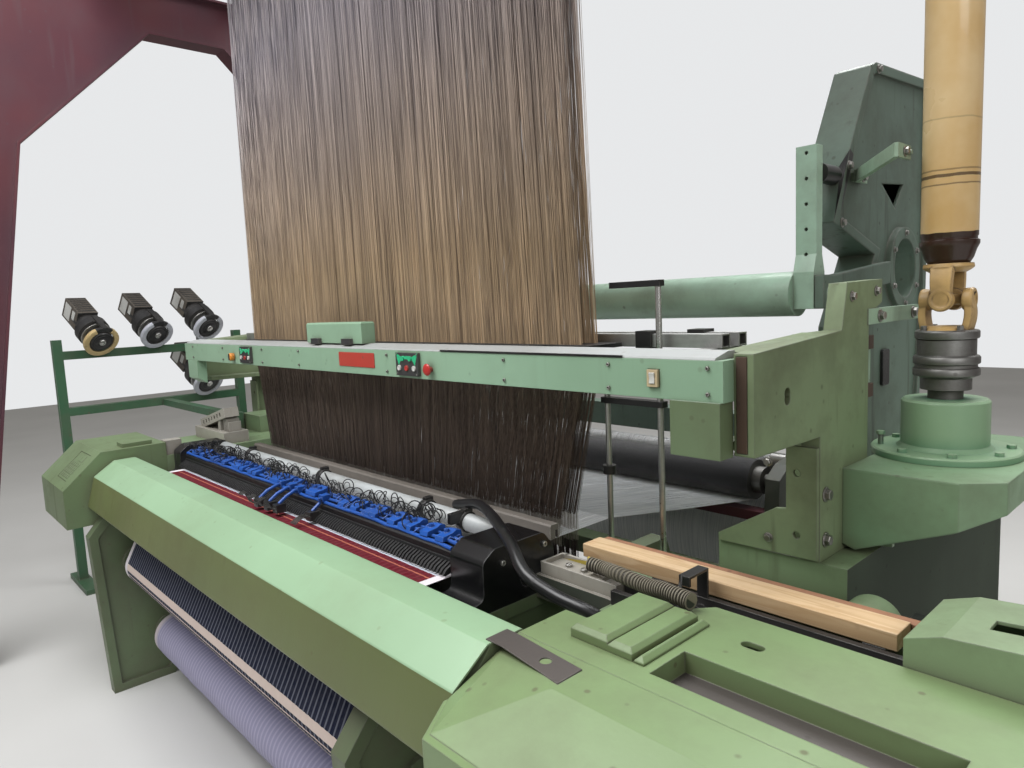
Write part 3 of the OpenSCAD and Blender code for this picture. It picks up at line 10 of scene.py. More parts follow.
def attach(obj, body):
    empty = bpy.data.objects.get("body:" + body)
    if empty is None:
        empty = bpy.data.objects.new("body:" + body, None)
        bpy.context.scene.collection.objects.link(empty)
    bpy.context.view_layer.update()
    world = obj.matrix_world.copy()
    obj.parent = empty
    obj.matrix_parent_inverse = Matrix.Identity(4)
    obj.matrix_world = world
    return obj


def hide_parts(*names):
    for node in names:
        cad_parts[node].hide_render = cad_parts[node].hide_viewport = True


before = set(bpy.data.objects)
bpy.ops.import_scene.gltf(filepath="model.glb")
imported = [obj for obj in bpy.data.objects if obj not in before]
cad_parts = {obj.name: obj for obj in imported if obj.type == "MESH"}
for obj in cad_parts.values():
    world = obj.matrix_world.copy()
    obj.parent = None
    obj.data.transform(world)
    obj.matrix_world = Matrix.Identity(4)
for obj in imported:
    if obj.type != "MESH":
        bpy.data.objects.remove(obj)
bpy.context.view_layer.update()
scene = bpy.context.scene
scene.view_settings.view_transform = "Standard"

# The photographer stands at the drive end, by the right table, and looks along the cloth.
# Loom sizes are given in millimetres from the weaving centre, with y 0 beside the reed.
WEAVING_CENTRE = Vector((0.143069, -0.3225, 0.0))


def loom(x, y, z):
    return Vector((x, y, z)) * 0.001 + WEAVING_CENTRE


camera_data = bpy.data.cameras.new("photo_camera")
camera_data.sensor_width = 36.0
camera_data.lens = 24.96
camera_data.clip_start = 0.02
camera_data.clip_end = 60.0
camera = bpy.data.objects.new("photo_camera", camera_data)
eye = loom(2310, -1306, 1600)
yaw, pitch, roll = (math.radians(a) for a in (47.5, 6.5, -2.55))
ahead = Vector((-math.sin(yaw) * math.cos(pitch), math.cos(yaw) * math.cos(pitch), -math.sin(pitch)))
level = Vector((math.cos(yaw), math.sin(yaw), 0.0))
across = level * math.cos(roll) + level.cross(ahead) * math.sin(roll)
upward = across.cross(ahead)
turn = Matrix((across, upward, -ahead)).transposed().to_4x4()
camera.matrix_world = Matrix.Translation(eye) @ turn
scene.collection.objects.link(camera)
scene.camera = camera

# A pale studio: the floor and the backdrop are white to the camera, and broad lamps high
# over the loom with a dim world give it plain soft light from above.
world = bpy.data.worlds.new("studio")
scene.world = world
world.use_nodes = True
sky = world.node_tree.nodes
sky_links = world.node_tree.links
sky.clear()
sky_out = sky.new("ShaderNodeOutputWorld")
sky_mix = sky.new("ShaderNodeMixShader")
sky_light = sky.new("ShaderNodeBackground")
sky_seen = sky.new("ShaderNodeBackground")
sky_path = sky.new("ShaderNodeLightPath")
sky_light.inputs["Color"].default_value = (1.0, 0.97, 0.92, 1)
sky_light.inputs["Strength"].default_value = 0.31
sky_seen.inputs["Color"].default_value = (0.80, 0.81, 0.82, 1)
sky_links.new(sky_path.outputs["Is Camera Ray"], sky_mix.inputs["Fac"])
sky_links.new(sky_light.outputs[0], sky_mix.inputs[1])
sky_links.new(sky_seen.outputs[0], sky_mix.inputs[2])
sky_links.new(sky_mix.outputs[0], sky_out.inputs["Surface"])
for lamp_name, place, aim, size, power in (
    ("lamp_over_cloth", (-300, -1700, 4900), (0, -300, 900), 3.2, 265),
    ("lamp_over_warp", (900, 2600, 5000), (0, 600, 1000), 3.2, 250),
    ("lamp_drive_side", (5200, -2200, 3300), (1200, 0, 1100), 3.0, 95),
):
    lamp_data = bpy.data.lights.new(lamp_name, "AREA")
    lamp_data.size = size
    lamp_data.energy = power
    lamp = bpy.data.objects.new(lamp_name, lamp_data)
    toward = loom(*aim) - loom(*place)
    lamp.matrix_world = Matrix.Translation(loom(*place)) @ toward.to_track_quat("-Z",
                                                                                "Y").to_matrix().to_4x4()
    scene.collection.objects.link(lamp)


def put(tree, kind, **settings):
    """Adds one node; a setting is a socket to join, a value for a socket, or a property."""
    node = tree.nodes.new(kind)
    for key, value in settings.items():
        if not key.startswith("in_"):
            setattr(node, key, value)
    for key, value in settings.items():
        if key.startswith("in_"):
            name = key[3:]
            socket = node.inputs[int(name)] if name.isdigit() else node.inputs[name.replace("_", " ")]
            if isinstance(value, bpy.types.NodeSocket):
                tree.links.new(value, socket)
            else:
                socket.default_value = value
    return node


def new_finish(name, **values):
    """A material with one Principled shader whose sockets are set by name."""
    material = bpy.data.materials.new(name)
    material.use_nodes = True
    shader = material.node_tree.nodes["Principled BSDF"]
    for key, value in values.items():
        shader.inputs[key.replace("_", " ")].default_value = value
    return material, material.node_tree, shader


def wire(tree, shader, **sockets):
    for key, socket in sockets.items():
        tree.links.new(socket, shader.inputs[key.replace("_", " ")])


def ramp(tree, factor, stops, sharp=False):
    node = put(tree, "ShaderNodeValToRGB", in_Fac=factor)
    band = node.color_ramp
    if sharp:
        band.interpolation = "CONSTANT"
    while len(band.elements) < len(stops):
        band.elements.new(0.5)
    for element, (place, colour) in zip(band.elements, stops):
        element.position = place
        element.color = (*colour, 1)
    return node.outputs["Color"]


def mask(tree, value, low, high):
    """A value turned into a soft mask that is 0 at low and 1 at high."""
    return put(tree, "ShaderNodeMapRange", in_Value=value, in_From_Min=low, in_From_Max=high).outputs[0]


def mixed(tree, factor, low, high):
    node = put(tree, "ShaderNodeMix", data_type="RGBA")
    for socket, value in ((node.inputs["Factor"], factor), (node.inputs["A"], low),
                          (node.inputs["B"], high)):
        if isinstance(value, bpy.types.NodeSocket):
            tree.links.new(value, socket)
        elif isinstance(value, tuple):
            socket.default_value = (*value, 1)
        else:
            socket.default_value = value
    return node.outputs["Result"]


def object_place(tree):
    return put(tree, "ShaderNodeTexCoord").outputs["Object"]


def noise(tree, where, scale, detail=2.0, **more):
    """Cloudy noise from 0 to 1; the where socket says how it is stretched."""
    node = put(tree, "ShaderNodeTexNoise", in_Vector=where, in_Scale=scale, in_Detail=detail, **more)
    return node.outputs["Fac"]


# The studio floor: pale sealed concrete, faintly cloudy, well wider than the loom. It is staging
# and no part of the machine.
floor_mesh = bpy.data.meshes.new("studio_floor")
floor_half_m = 14
floor_corners = [(i * floor_half_m, j * floor_half_m, 0) for i, j in ((-1, -1), (1, -1), (1, 1), (-1, 1))]
floor_mesh.from_pydata(floor_corners, [], [(0, 1, 2, 3)])
floor = bpy.data.objects.new("studio_floor", floor_mesh)
scene.collection.objects.link(floor)
concrete, tree, shader = new_finish("pale_floor", Roughness=0.7)
spot = object_place(tree)
cloud = noise(tree, spot, 0.8, 3.0)
wire(tree, shader, Base_Color=ramp(tree, cloud, [(0.3, (0.56, 0.56, 0.55)), (0.7, (0.62, 0.62, 0.61))]))
floor_mesh.materials.append(concrete)

# Gantry: two haunched portals and the long beams, welded from plate and rolled section, in
# dull red primer with soot and chips. Every painted part of the loom shares these two groups:
# worn, slightly rounded arrises, and the oily dust that settles where hands and air leave it,
# together with painted shade that darkens corners and recesses.
def maths(tree, operation, *values):
    places = {"in_" + str(i): value for i, value in enumerate(values)}
    return put(tree, "ShaderNodeMath", operation=operation, **places).outputs[0]


def between(tree, value, low, high):
    """A value from 0 to 1 stretched to lie between low and high."""
    return put(tree, "ShaderNodeMapRange", in_Value=value, in_To_Min=low, in_To_Max=high).outputs[0]


def node_tree(name, kind, takes, gives):
    """A node tree whose sockets are named with their types, or with a number as their preset."""
    tree = bpy.data.node_groups.new(name, kind)
    for side, sockets in (("INPUT", takes), ("OUTPUT", gives)):
        for socket_name, type_or_preset in sockets.items():
            if isinstance(type_or_preset, float):
                socket = tree.interface.new_socket(socket_name, in_out=side, socket_type="NodeSocketFloat")
                socket.default_value = type_or_preset
            else:
                socket_type = "NodeSocket" + type_or_preset
                tree.interface.new_socket(socket_name, in_out=side, socket_type=socket_type)
    return tree


arris_group = node_tree("Worn arris", "ShaderNodeTree",
                        {"Round": 0.002, "Patch scale": 14.0, "Amount": 0.5},
                        {"Bare": "Float", "Normal": "Vector"})
given = put(arris_group, "NodeGroupInput").outputs
result = put(arris_group, "NodeGroupOutput").inputs
rounded = put(arris_group, "ShaderNodeBevel", samples=4, in_Radius=given["Round"]).outputs[0]
flat = put(arris_group, "ShaderNodeNewGeometry").outputs["Normal"]
turned_away = put(arris_group, "ShaderNodeVectorMath", operation="DOT_PRODUCT", in_0=rounded, in_1=flat)
edge = mask(arris_group, turned_away.outputs["Value"], 0.995, 0.86)
spot = object_place(arris_group)
patches = noise(arris_group, spot, given["Patch scale"], 4.0)
worn = maths(arris_group, "MULTIPLY", edge, mask(arris_group, patches, 0.62, 0.48))
shown = maths(arris_group, "MULTIPLY", worn, given["Amount"])
arris_group.links.new(shown, result["Bare"])
arris_group.links.new(rounded, result["Normal"])

dust_and_shade_group = node_tree("Oily dust and corner shade", "ShaderNodeTree", {"Amount": 0.5, "Streak": 0.4, "Spots": 0.5},
                       {"Dirt": "Float", "Height": "Float"})
given = put(dust_and_shade_group, "NodeGroupInput").outputs
result = put(dust_and_shade_group, "NodeGroupOutput").inputs
spot = object_place(dust_and_shade_group)
broad = noise(dust_and_shade_group, spot, 3.2, 6.0, in_Roughness=0.65)
drawn = put(dust_and_shade_group, "ShaderNodeMapping", in_Vector=spot, in_Scale=(26, 26, 2.0))
streaks = noise(dust_and_shade_group, drawn.outputs[0], 1.0, 3.0)
specks = put(dust_and_shade_group, "ShaderNodeTexVoronoi", in_Vector=spot, in_Scale=17.0)
# Painted shade: ambient occlusion darkens corners and recesses through the same mask as the oily dust.
corner = put(dust_and_shade_group, "ShaderNodeAmbientOcclusion", samples=4, in_Distance=0.05)
parts = []
for value, low, high, share in (
    (broad, 0.46, 0.74, given["Amount"]),
    (streaks, 0.58, 0.74, given["Streak"]),
    (specks.outputs["Distance"], 0.13, 0.06, given["Spots"]),
    (corner.outputs["AO"], 0.92, 0.40, 0.7),
):
    parts.append(maths(dust_and_shade_group, "MULTIPLY", mask(dust_and_shade_group, value, low, high), share))
while len(parts) > 1:
    parts.append(maths(dust_and_shade_group, "MAXIMUM", parts.pop(), parts.pop()))
peel = noise(dust_and_shade_group, spot, 160.0, 2.0)
dust_and_shade_group.links.new(parts[0], result["Dirt"])
dust_and_shade_group.links.new(peel, result["Height"])


def shared(tree, node_group, **values):
    node = put(tree, "ShaderNodeGroup", node_tree=node_group)
    for key, value in values.items():
        node.inputs[key.replace("_", " ")].default_value = value
    return node.outputs


def painted(name, colour, shade, bare=(0.20, 0.19, 0.17), dirt_and_shade=(0.10, 0.085, 0.06), rough=0.42, dust=0.4,
            streak=0.2, spots=0.5, wear=0.5, radius=0.002, coarse=0.0):
    """Enamel: colour and its darker shade drift over the part; grime with painted shade in corners, and
    bare arrises, lie on top.
    """
    material, tree, shader = new_finish(name)
    spot = object_place(tree)
    drift = noise(tree, spot, 1.3, 4.0)
    coat = mixed(tree, mask(tree, drift, 0.35, 0.68), colour, shade)
    soil_and_shade = shared(tree, dust_and_shade_group, Amount=dust, Streak=streak, Spots=spots)
    arris = shared(tree, arris_group, Round=radius, Amount=wear)
    shown = mixed(tree, arris["Bare"], mixed(tree, soil_and_shade["Dirt"], coat, dirt_and_shade), bare)
    gloss = between(tree, soil_and_shade["Dirt"], rough, min(rough + 0.3, 0.95))
    relief = soil_and_shade["Height"]
    if coarse:
        grit = noise(tree, spot, 55.0, 5.0)
        relief = maths(tree, "MULTIPLY_ADD", grit, coarse, relief)
    bump = put(tree, "ShaderNodeBump", in_Strength=0.12, in_Distance=0.001, in_Height=relief,
               in_Normal=arris["Normal"])
    wire(tree, shader, Base_Color=shown, Roughness=gloss, Normal=bump.outputs[0])
    return material


def dress(node, material, *zones):
    """Finishes a CAD node; faces centred inside a zone's two loom corners take that zone's finish."""
    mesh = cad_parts[node].data
    mesh.materials.clear()
    mesh.materials.append(material)
    for index, (finish, low, high) in enumerate(zones, 1):
        mesh.materials.append(finish)
        low, high = loom(*low), loom(*high)
        for face in mesh.polygons:
            if all(low[i] <= face.center[i] <= high[i] for i in range(3)):
                face.material_index = index


def circle(centre, radius, count, start=0.0):
    """Places evenly round a circle, as pairs in the plane of its centre."""
    turns = [start + 2 * math.pi * k / count for k in range(count)]
    return [(centre[0] + radius * math.cos(a), centre[1] + radius * math.sin(a)) for a in turns]


class Blank:
    """One piece in the making: its shapes join in a single mesh, sized in loom millimetres."""

    def __init__(self):
        self.shape = bmesh.new()
        self.finish = 0

    def skin(self, rings):
        """Joins rings of points into a skin and closes both ends."""
        rows = [[self.shape.verts.new(point) for point in ring] for ring in rings]
        count = len(rows[0])
        faces = []
        for one, two in zip(rows, rows[1:]):
            for k in range(count):
                faces.append((one[k], one[(k + 1) % count], two[(k + 1) % count], two[k]))
        faces += [tuple(reversed(rows[0])), tuple(rows[-1])]
        for corners in faces:
            self.shape.faces.new(corners).material_index = self.finish
        return self

    def plate(self, axis, start, stop, outline, holes=()):
        """A flat outline drawn across the axis and given a thickness along it."""
        def point(pair, along):
            return {"x": (along, *pair), "y": (pair[0], along, pair[1]), "z": (*pair, along)}[axis]
        loops = [list(outline), *[list(h) for h in holes]]
        flat_points = [p for loop in loops for p in loop]
        low = [self.shape.verts.new(point(p, start)) for p in flat_points]
        high = [self.shape.verts.new(point(p, stop)) for p in flat_points]
        for tri in tessellate_polygon([[Vector((*p, 0)) for p in loop] for loop in loops]):
            for row in (low, high):
                self.shape.faces.new([row[i] for i in tri]).material_index = self.finish
        base = 0
        for loop in loops:
            n = len(loop)
            for k in range(n):
                a, b = base + k, base + (k + 1) % n
                self.shape.faces.new((low[a], low[b], high[b], high[a])).material_index = self.finish
            base += n
        return self

    def block(self, low, high):
        x0, y0, z0 = low
        x1, y1, z1 = high
        return self.skin([[(x0, y0, z), (x1, y0, z), (x1, y1, z), (x0, y1, z)] for z in (z0, z1)])

    def turned(self, axis, centre, profile, steps=32):
        """Turns a profile of (place along the axis, radius) round the axis through centre."""
        rings = []
        for along, radius in profile:
            ring = []
            for u, v in circle((0, 0), radius, steps):
                offset = {"x": (along, u, v), "y": (u, along, v), "z": (u, v, along)}[axis]
                ring.append(tuple(c + o for c, o in zip(centre, offset)))
            rings.append(ring)
        return self.skin(rings)

    def rod(self, path, radius, steps=8):
        """A round bar along a path; the radius may be one number or one for each point."""
        points = [Vector(p) for p in path]
        side = None
        rings = []
        for i, point in enumerate(points):
            along = (points[min(i + 1, len(points) - 1)] - points[max(i - 1, 0)]).normalized()
            if side is None:
                side = along.orthogonal().normalized()
            side = (side - along * side.dot(along)).normalized()
            up = along.cross(side)
            r = radius[i] if isinstance(radius, (list, tuple)) else radius
            angles = [2 * math.pi * k / steps for k in range(steps)]
            rings.append([tuple(point + (side * math.cos(a) + up * math.sin(a)) * r) for a in angles])
        return self.skin(rings)

    def loose(self, name):
        """The bare mesh in metres, centred on loom zero, for a shape that is repeated elsewhere."""
        bmesh.ops.remove_doubles(self.shape, verts=self.shape.verts, dist=0.02)
        bmesh.ops.recalc_face_normals(self.shape, faces=self.shape.faces)
        bmesh.ops.scale(self.shape, vec=(0.001, 0.001, 0.001), verts=self.shape.verts)
        mesh = bpy.data.meshes.new(name)
        self.shape.to_mesh(mesh)
        self.shape.free()
        mesh.shade_smooth()
        mesh.set_sharp_from_angle(angle=math.radians(38))
        thing = bpy.data.objects.new(name, mesh)
        scene.collection.objects.link(thing)
        return thing

    def piece(self, name, body, *materials, soft=1.5, instead=()):
        """The finished piece on its body, with softened arrises."""
        thing = self.loose(name)
        thing.data.transform(Matrix.Translation(WEAVING_CENTRE))
        for material in materials:
            thing.data.materials.append(material)
        if soft:
            ease = thing.modifiers.new("softened arrises", "BEVEL")
            ease.width = soft * 0.001
            ease.segments = 2
            ease.limit_method = "ANGLE"
            ease.angle_limit = math.radians(40)
            ease.harden_normals = True
        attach(thing, body)
        if instead:
            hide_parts(*instead)
        return thing


def settle(points_mesh, tree, name, body, instead=(), **inputs):
    """Runs a geometry tree on the mesh and keeps the outcome as one plain mesh on the body."""
    seed_object = bpy.data.objects.new(name + "_places", points_mesh)
    scene.collection.objects.link(seed_object)
    modifier = seed_object.modifiers.new("layout", "NODES")
    modifier.node_group = tree
    for item in tree.interface.items_tree:
        if item.item_type == "SOCKET" and item.in_out == "INPUT" and item.name.replace(" ", "_") in inputs:
            modifier[item.identifier] = inputs[item.name.replace(" ", "_")]
    seed_object.update_tag()
    bpy.context.view_layer.update()
    graph = bpy.context.evaluated_depsgraph_get()
    made = bpy.data.meshes.new_from_object(seed_object.evaluated_get(graph))
    made.name = name
    bpy.data.objects.remove(seed_object)
    thing = bpy.data.objects.new(name, made)
    scene.collection.objects.link(thing)
    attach(thing, body)
    if instead:
        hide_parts(*instead)
    return thing


fixing_tree = node_tree("Fixings on places", "GeometryNodeTree",
                        {"Geometry": "Geometry", "Fixing": "Object", "Finish": "Material", "Turn": "Float",
                         "Seed": "Int"},
                        {"Geometry": "Geometry"})
given = put(fixing_tree, "NodeGroupInput").outputs
facing = put(fixing_tree, "GeometryNodeInputNamedAttribute", data_type="FLOAT_VECTOR",
             in_Name="facing").outputs[0]
size = put(fixing_tree, "GeometryNodeInputNamedAttribute", data_type="FLOAT", in_Name="size").outputs[0]
aim = put(fixing_tree, "FunctionNodeAlignRotationToVector", axis="Z", in_Vector=facing).outputs[0]
spin = put(fixing_tree, "FunctionNodeRandomValue", data_type="FLOAT", in_Seed=given["Seed"])
spin_low = maths(fixing_tree, "MULTIPLY", given["Turn"], -1.0)
fixing_tree.links.new(spin_low, spin.inputs[2])
fixing_tree.links.new(given["Turn"], spin.inputs[3])
angle = put(fixing_tree, "ShaderNodeCombineXYZ", in_Z=spin.outputs[1]).outputs[0]
twist = put(fixing_tree, "FunctionNodeEulerToRotation", in_0=angle).outputs[0]
pose = put(fixing_tree, "FunctionNodeRotateRotation", rotation_space="LOCAL", in_0=aim,
           in_1=twist).outputs[0]
shape = put(fixing_tree, "GeometryNodeObjectInfo", in_Object=given["Fixing"]).outputs["Geometry"]
spread = put(fixing_tree, "GeometryNodeInstanceOnPoints", in_Points=given["Geometry"], in_Instance=shape,
             in_Rotation=pose, in_Scale=size)
solid = put(fixing_tree, "GeometryNodeRealizeInstances", in_Geometry=spread.outputs[0])
coated = put(fixing_tree, "GeometryNodeSetMaterial", in_Geometry=solid.outputs[0],
             in_Material=given["Finish"])
put(fixing_tree, "NodeGroupOutput", in_Geometry=coated.outputs[0])


def fixings(name, body, fixing, places, material, turn=3.1, seed=1):
    """Sets the fixing at places of (x, y, z, the way it faces, size) and takes the loose one away."""
    mesh = bpy.data.meshes.new(name + "_places")
    mesh.from_pydata([loom(*place[:3]) for place in places], [], [])
    mesh.attributes.new("facing", "FLOAT_VECTOR", "POINT")
    mesh.attributes.new("size", "FLOAT", "POINT")
    for i, place in enumerate(places):
        mesh.attributes["facing"].data[i].vector = place[3]
        mesh.attributes["size"].data[i].value = place[4]
    made = settle(mesh, fixing_tree, name, body, Fixing=fixing, Finish=material, Turn=turn, Seed=seed)
    bpy.data.objects.remove(fixing)
    return made


def hex_bolt():
    """A hexagon head 16 across on its washer, standing up from zero."""
    bolt = Blank()
    bolt.turned("z", (0, 0, 0), [(0, 12), (1.6, 12), (2, 11.4)], 16)
    bolt.turned("z", (0, 0, 0), [(2, 8.6), (8.4, 8.6), (9.4, 7.4)], 6)
    return bolt.loose("hex_bolt")


def cap_screw():
    """A socket cap screw 10 across with its hexagon socket."""
    screw = Blank()
    screw.turned("z", (0, 0, 0), [(0, 5), (4.4, 5), (5, 4.4), (5, 2.4), (2.4, 2.2), (2.4, 0.01)], 12)
    return screw.loose("cap_screw")


red_oxide = painted("red_oxide", (0.105, 0.020, 0.027), (0.052, 0.014, 0.029), bare=(0.12, 0.08, 0.06),
                    dirt_and_shade=(0.09, 0.05, 0.06), rough=0.55, streak=0.5)
dress("gantry", red_oxide)
plain_steel, tree, shader = new_finish("oiled_steel", Metallic=1.0)
soil_and_shade = shared(tree, dust_and_shade_group, Amount=0.5, Streak=0.2, Spots=0.4)
arris = shared(tree, arris_group, Round=0.001, Amount=0.0)
wire(tree, shader, Base_Color=mixed(tree, soil_and_shade["Dirt"], (0.42, 0.41, 0.39), (0.07, 0.06, 0.05)),
     Roughness=between(tree, soil_and_shade["Dirt"], 0.34, 0.75),
     Normal=arris["Normal"])
foot_bolts = [(x + dx, y + dy, 20, (0, 0, 1), 2.0)
              for x in (-1767, 2420) for y in (-1140, 1455) for dx in (-110, 110) for dy in (-80, 80)]
fixings("gantry_foot_bolts", "machine", hex_bolt(), foot_bolts, plain_steel)

# Side frames and cross beams: grey-iron castings with rims, windows and bored bosses, tied by
# hollow beams bolted between them, in a darker casting green that is oily near the floor.
olive_casting = painted("olive_casting", (0.136, 0.186, 0.099), (0.078, 0.108, 0.054), dust=0.6, streak=0.4,
                        coarse=1.6, radius=0.004)
dark_casting = painted("dark_casting", (0.075, 0.085, 0.07), (0.04, 0.045, 0.035), dust=0.6, coarse=1.8,
                       radius=0.003)


def metal(name, colour, rough, grain=(3, 300, 300), dust=0.4, dirt_and_shade=(0.06, 0.05, 0.04), radius=0.0012):
    """Machined metal: fine lines along one way, oil stains with painted shade in corners, and rounded
    arrises.
    """
    material, tree, shader = new_finish(name, Metallic=1.0)
    spot = object_place(tree)
    lines = put(tree, "ShaderNodeMapping", in_Vector=spot, in_Scale=grain)
    fine = noise(tree, lines.outputs[0], 1.0, 3.0)
    soil_and_shade = shared(tree, dust_and_shade_group, Amount=dust, Streak=0.2, Spots=0.4)
    arris = shared(tree, arris_group, Round=radius, Amount=0.0)
    tint = mixed(tree, fine, tuple(c * 0.72 for c in colour), colour)
    gloss = between(tree, soil_and_shade["Dirt"], rough, 0.75)
    bump = put(tree, "ShaderNodeBump", in_Strength=0.08, in_Distance=0.0005, in_Height=fine,
               in_Normal=arris["Normal"])
    wire(tree, shader, Base_Color=mixed(tree, soil_and_shade["Dirt"], tint, dirt_and_shade), Roughness=gloss,
         Normal=bump.outputs[0])
    return material


ground_steel = metal("ground_steel", (0.66, 0.66, 0.64), 0.26)
dull_steel = metal("dull_steel", (0.30, 0.30, 0.29), 0.45, dust=0.6)
dress("left_frame", olive_casting)
dress("right_frame", olive_casting)
dress("cross_beams", olive_casting, (ground_steel, (-1010, -410, 900), (980, -360, 935)))
frame_bolts = []
for side in (-1, 1):
    for y, z in ((-300, 680), (-260, 750), (636, 180), (684, 250), (894, 540), (956, 584)):
        frame_bolts.append((side * 1070, y, z, (side, 0, 0), 1.2))
fixings("frame_bolts", "machine", hex_bolt(), frame_bolts, plain_steel)
dress("rear_castings", dark_casting, (ground_steel, (-1000, 1300, 885), (1000, 1380, 965)),
      (red_oxide, (-1030, 1115, 730), (1030, 1190, 780)))
dress("spring_box", dark_casting)

# Housings, cover and table: folded and cast cases in sage enamel, with near-black green and black
# paint as painted shade on the right housing's inner faces. The long front cover is one sheet bent
# along four lines, with darker olive enamel as painted shade on its lower front; the table, lids and
# end cover are castings with soft corners.
cover_enamel = painted("cover_enamel", (0.31, 0.485, 0.31), (0.26, 0.40, 0.25), dirt_and_shade=(0.17, 0.19, 0.10),
                       dust=0.25, streak=0.0, spots=0.35, rough=0.33, wear=0.25)
table_enamel = painted("table_enamel", (0.185, 0.275, 0.125), (0.155, 0.225, 0.10), dirt_and_shade=(0.10, 0.10, 0.05),
                       dust=0.45, streak=0.0, spots=0.8, rough=0.36, radius=0.004)
side_enamel = painted("side_enamel", (0.22, 0.31, 0.175), (0.16, 0.23, 0.125), dirt_and_shade=(0.09, 0.09, 0.05),
                      dust=0.5, streak=0.4, rough=0.4, radius=0.003)
black_paint = painted("black_paint", (0.012, 0.012, 0.013), (0.007, 0.007, 0.008), bare=(0.25, 0.24, 0.22),
                      dirt_and_shade=(0.045, 0.042, 0.04), rough=0.32, dust=0.18)
dress("left_housing", side_enamel)
# Painted shade: the right housing's inner faces take a near-black green, and one corner black paint, where
# shade falls.
oily_casting = painted("oily_casting", (0.042, 0.060, 0.038), (0.022, 0.031, 0.020),
                       dirt_and_shade=(0.015, 0.013, 0.010), rough=0.9, dust=0.12, coarse=1.8)
dress("right_housing", side_enamel, (oily_casting, (1655, 300, 60), (1672, 1625, 970)),
      (oily_casting, (1660, 60, 758), (1945, 300, 764)),
      (black_paint, (1800, 195, 765), (1945, 297, 910)))
lock_brown = painted("lock_plate_brown", (0.095, 0.082, 0.078), (0.058, 0.050, 0.048),
                     bare=(0.30, 0.28, 0.26), dirt_and_shade=(0.04, 0.035, 0.03), rough=0.34, dust=0.3, streak=0.0)
dress("right_end_cover", table_enamel, (lock_brown, (1360, -570, 1003.5), (1580, -480, 1010)))
dress("right_table", table_enamel, (lock_brown, (1656, -431, 955), (2070, -339, 968)),
      (black_paint, (2110, -460, 1003.5), (2150, -420, 1010)))
dress("table_lids", table_enamel)
dress("end_guard", side_enamel)
console_enamel = painted("console_enamel", (0.165, 0.235, 0.12), (0.125, 0.18, 0.09),
                         dirt_and_shade=(0.09, 0.085, 0.05), dust=0.4, streak=0.3, spots=0.4, rough=0.38)
dress("console", console_enamel)


def clipped(low, high, cut):
    """A rectangle between two opposite corners with its own corners cut off."""
    (x0, y0), (x1, y1) = low, high
    return [(x0 + cut, y0), (x1 - cut, y0), (x1, y0 + cut), (x1, y1 - cut),
            (x1 - cut, y1), (x0 + cut, y1), (x0, y1 - cut), (x0, y0 + cut)]


def bent_path(corners, radius, steps=5):
    """The corners of a sheet's section, each eased into an arc of the bending radius."""
    path = [Vector(corners[0])]
    for before, here, after in zip(corners, corners[1:], corners[2:]):
        before, here, after = Vector(before), Vector(here), Vector(after)
        toward, onward = (before - here).normalized(), (after - here).normalized()
        half = toward.angle(onward) / 2
        reach = min(radius / math.tan(half), (before - here).length * 0.45, (after - here).length * 0.45)
        for k in range(steps + 1):
            t = k / steps
            first, second = here + toward * reach, here + onward * reach
            path.append(first * (1 - t) ** 2 + here * 2 * t * (1 - t) + second * t ** 2)
    path.append(Vector(corners[-1]))
    return path


def offset_strip(path, thickness):
    """The closed outline of a path given a thickness on its right-hand side."""
    far = []
    for i, point in enumerate(path):
        along = (path[min(i + 1, len(path) - 1)] - path[max(i - 1, 0)]).normalized()
        far.append(point + Vector((along.y, -along.x)) * thickness)
    return [tuple(p) for p in path] + [tuple(p) for p in reversed(far)]


sheet_thickness, bend_radius = 4, 9
cover_section = bent_path([(-640, 806), (-663, 822), (-628, 947), (-546, 1003), (-457, 1003), (-457, 979)],
                          bend_radius)
cover = Blank()
cover.plate("x", -1080, 1386, offset_strip(cover_section, sheet_thickness))
# Painted shade: the cover's lower faces take this darker olive enamel in place of the shade that falls
# there.
worn_enamel = painted("worn_enamel", (0.125, 0.150, 0.055), (0.10, 0.125, 0.045), dirt_and_shade=(0.11, 0.10, 0.05),
                      dust=0.4, streak=0.25, spots=0.5, rough=0.36, wear=0.3)
front_sheet = cover.piece("front_cover_sheet", "machine", cover_enamel, worn_enamel, soft=0.8,
                          instead=["front_cover"])
# Faces of the cover below this height get the painted shade.
painted_shade_below_m = 0.945
for face in front_sheet.data.polygons:
    if face.center.z < painted_shade_below_m:
        face.material_index = 1

# Guide channel, plank and its bracket: black rails carry the fired projectile back; a pine
# plank lies on two packers with a reddish batten behind it, held by a square steel bracket.
pine, tree, shader = new_finish("pine_board", Roughness=0.55)
spot = object_place(tree)
rings = put(tree, "ShaderNodeMapping", in_Vector=spot, in_Scale=(0.9, 14, 14),
            in_Rotation=(0.3, 0.03, 0.04))
grain = noise(tree, rings.outputs[0], 3.0, 5.0, in_Distortion=0.6)
wood = ramp(tree, grain, [(0.32, (0.60, 0.43, 0.25)), (0.47, (0.50, 0.33, 0.17)),
                          (0.52, (0.62, 0.45, 0.27)), (0.72, (0.53, 0.36, 0.19))])
knots = put(tree, "ShaderNodeTexVoronoi", in_Vector=spot, in_Scale=4.5).outputs["Distance"]
wood = mixed(tree, mask(tree, knots, 0.085, 0.03), wood, (0.12, 0.05, 0.02))
soil_and_shade = shared(tree, dust_and_shade_group, Amount=0.3, Streak=0.0, Spots=0.3)
fine = put(tree, "ShaderNodeBump", in_Strength=0.25, in_Distance=0.0006, in_Height=grain)
wire(tree, shader, Base_Color=mixed(tree, soil_and_shade["Dirt"], wood, (0.25, 0.16, 0.09)), Normal=fine.outputs[0])
old_wood = painted("reddish_batten", (0.36, 0.17, 0.09), (0.22, 0.10, 0.06), dirt_and_shade=(0.06, 0.04, 0.03),
                   dust=0.7, streak=0.0, rough=0.7)
dress("guide_channel", black_paint)
board = Blank()
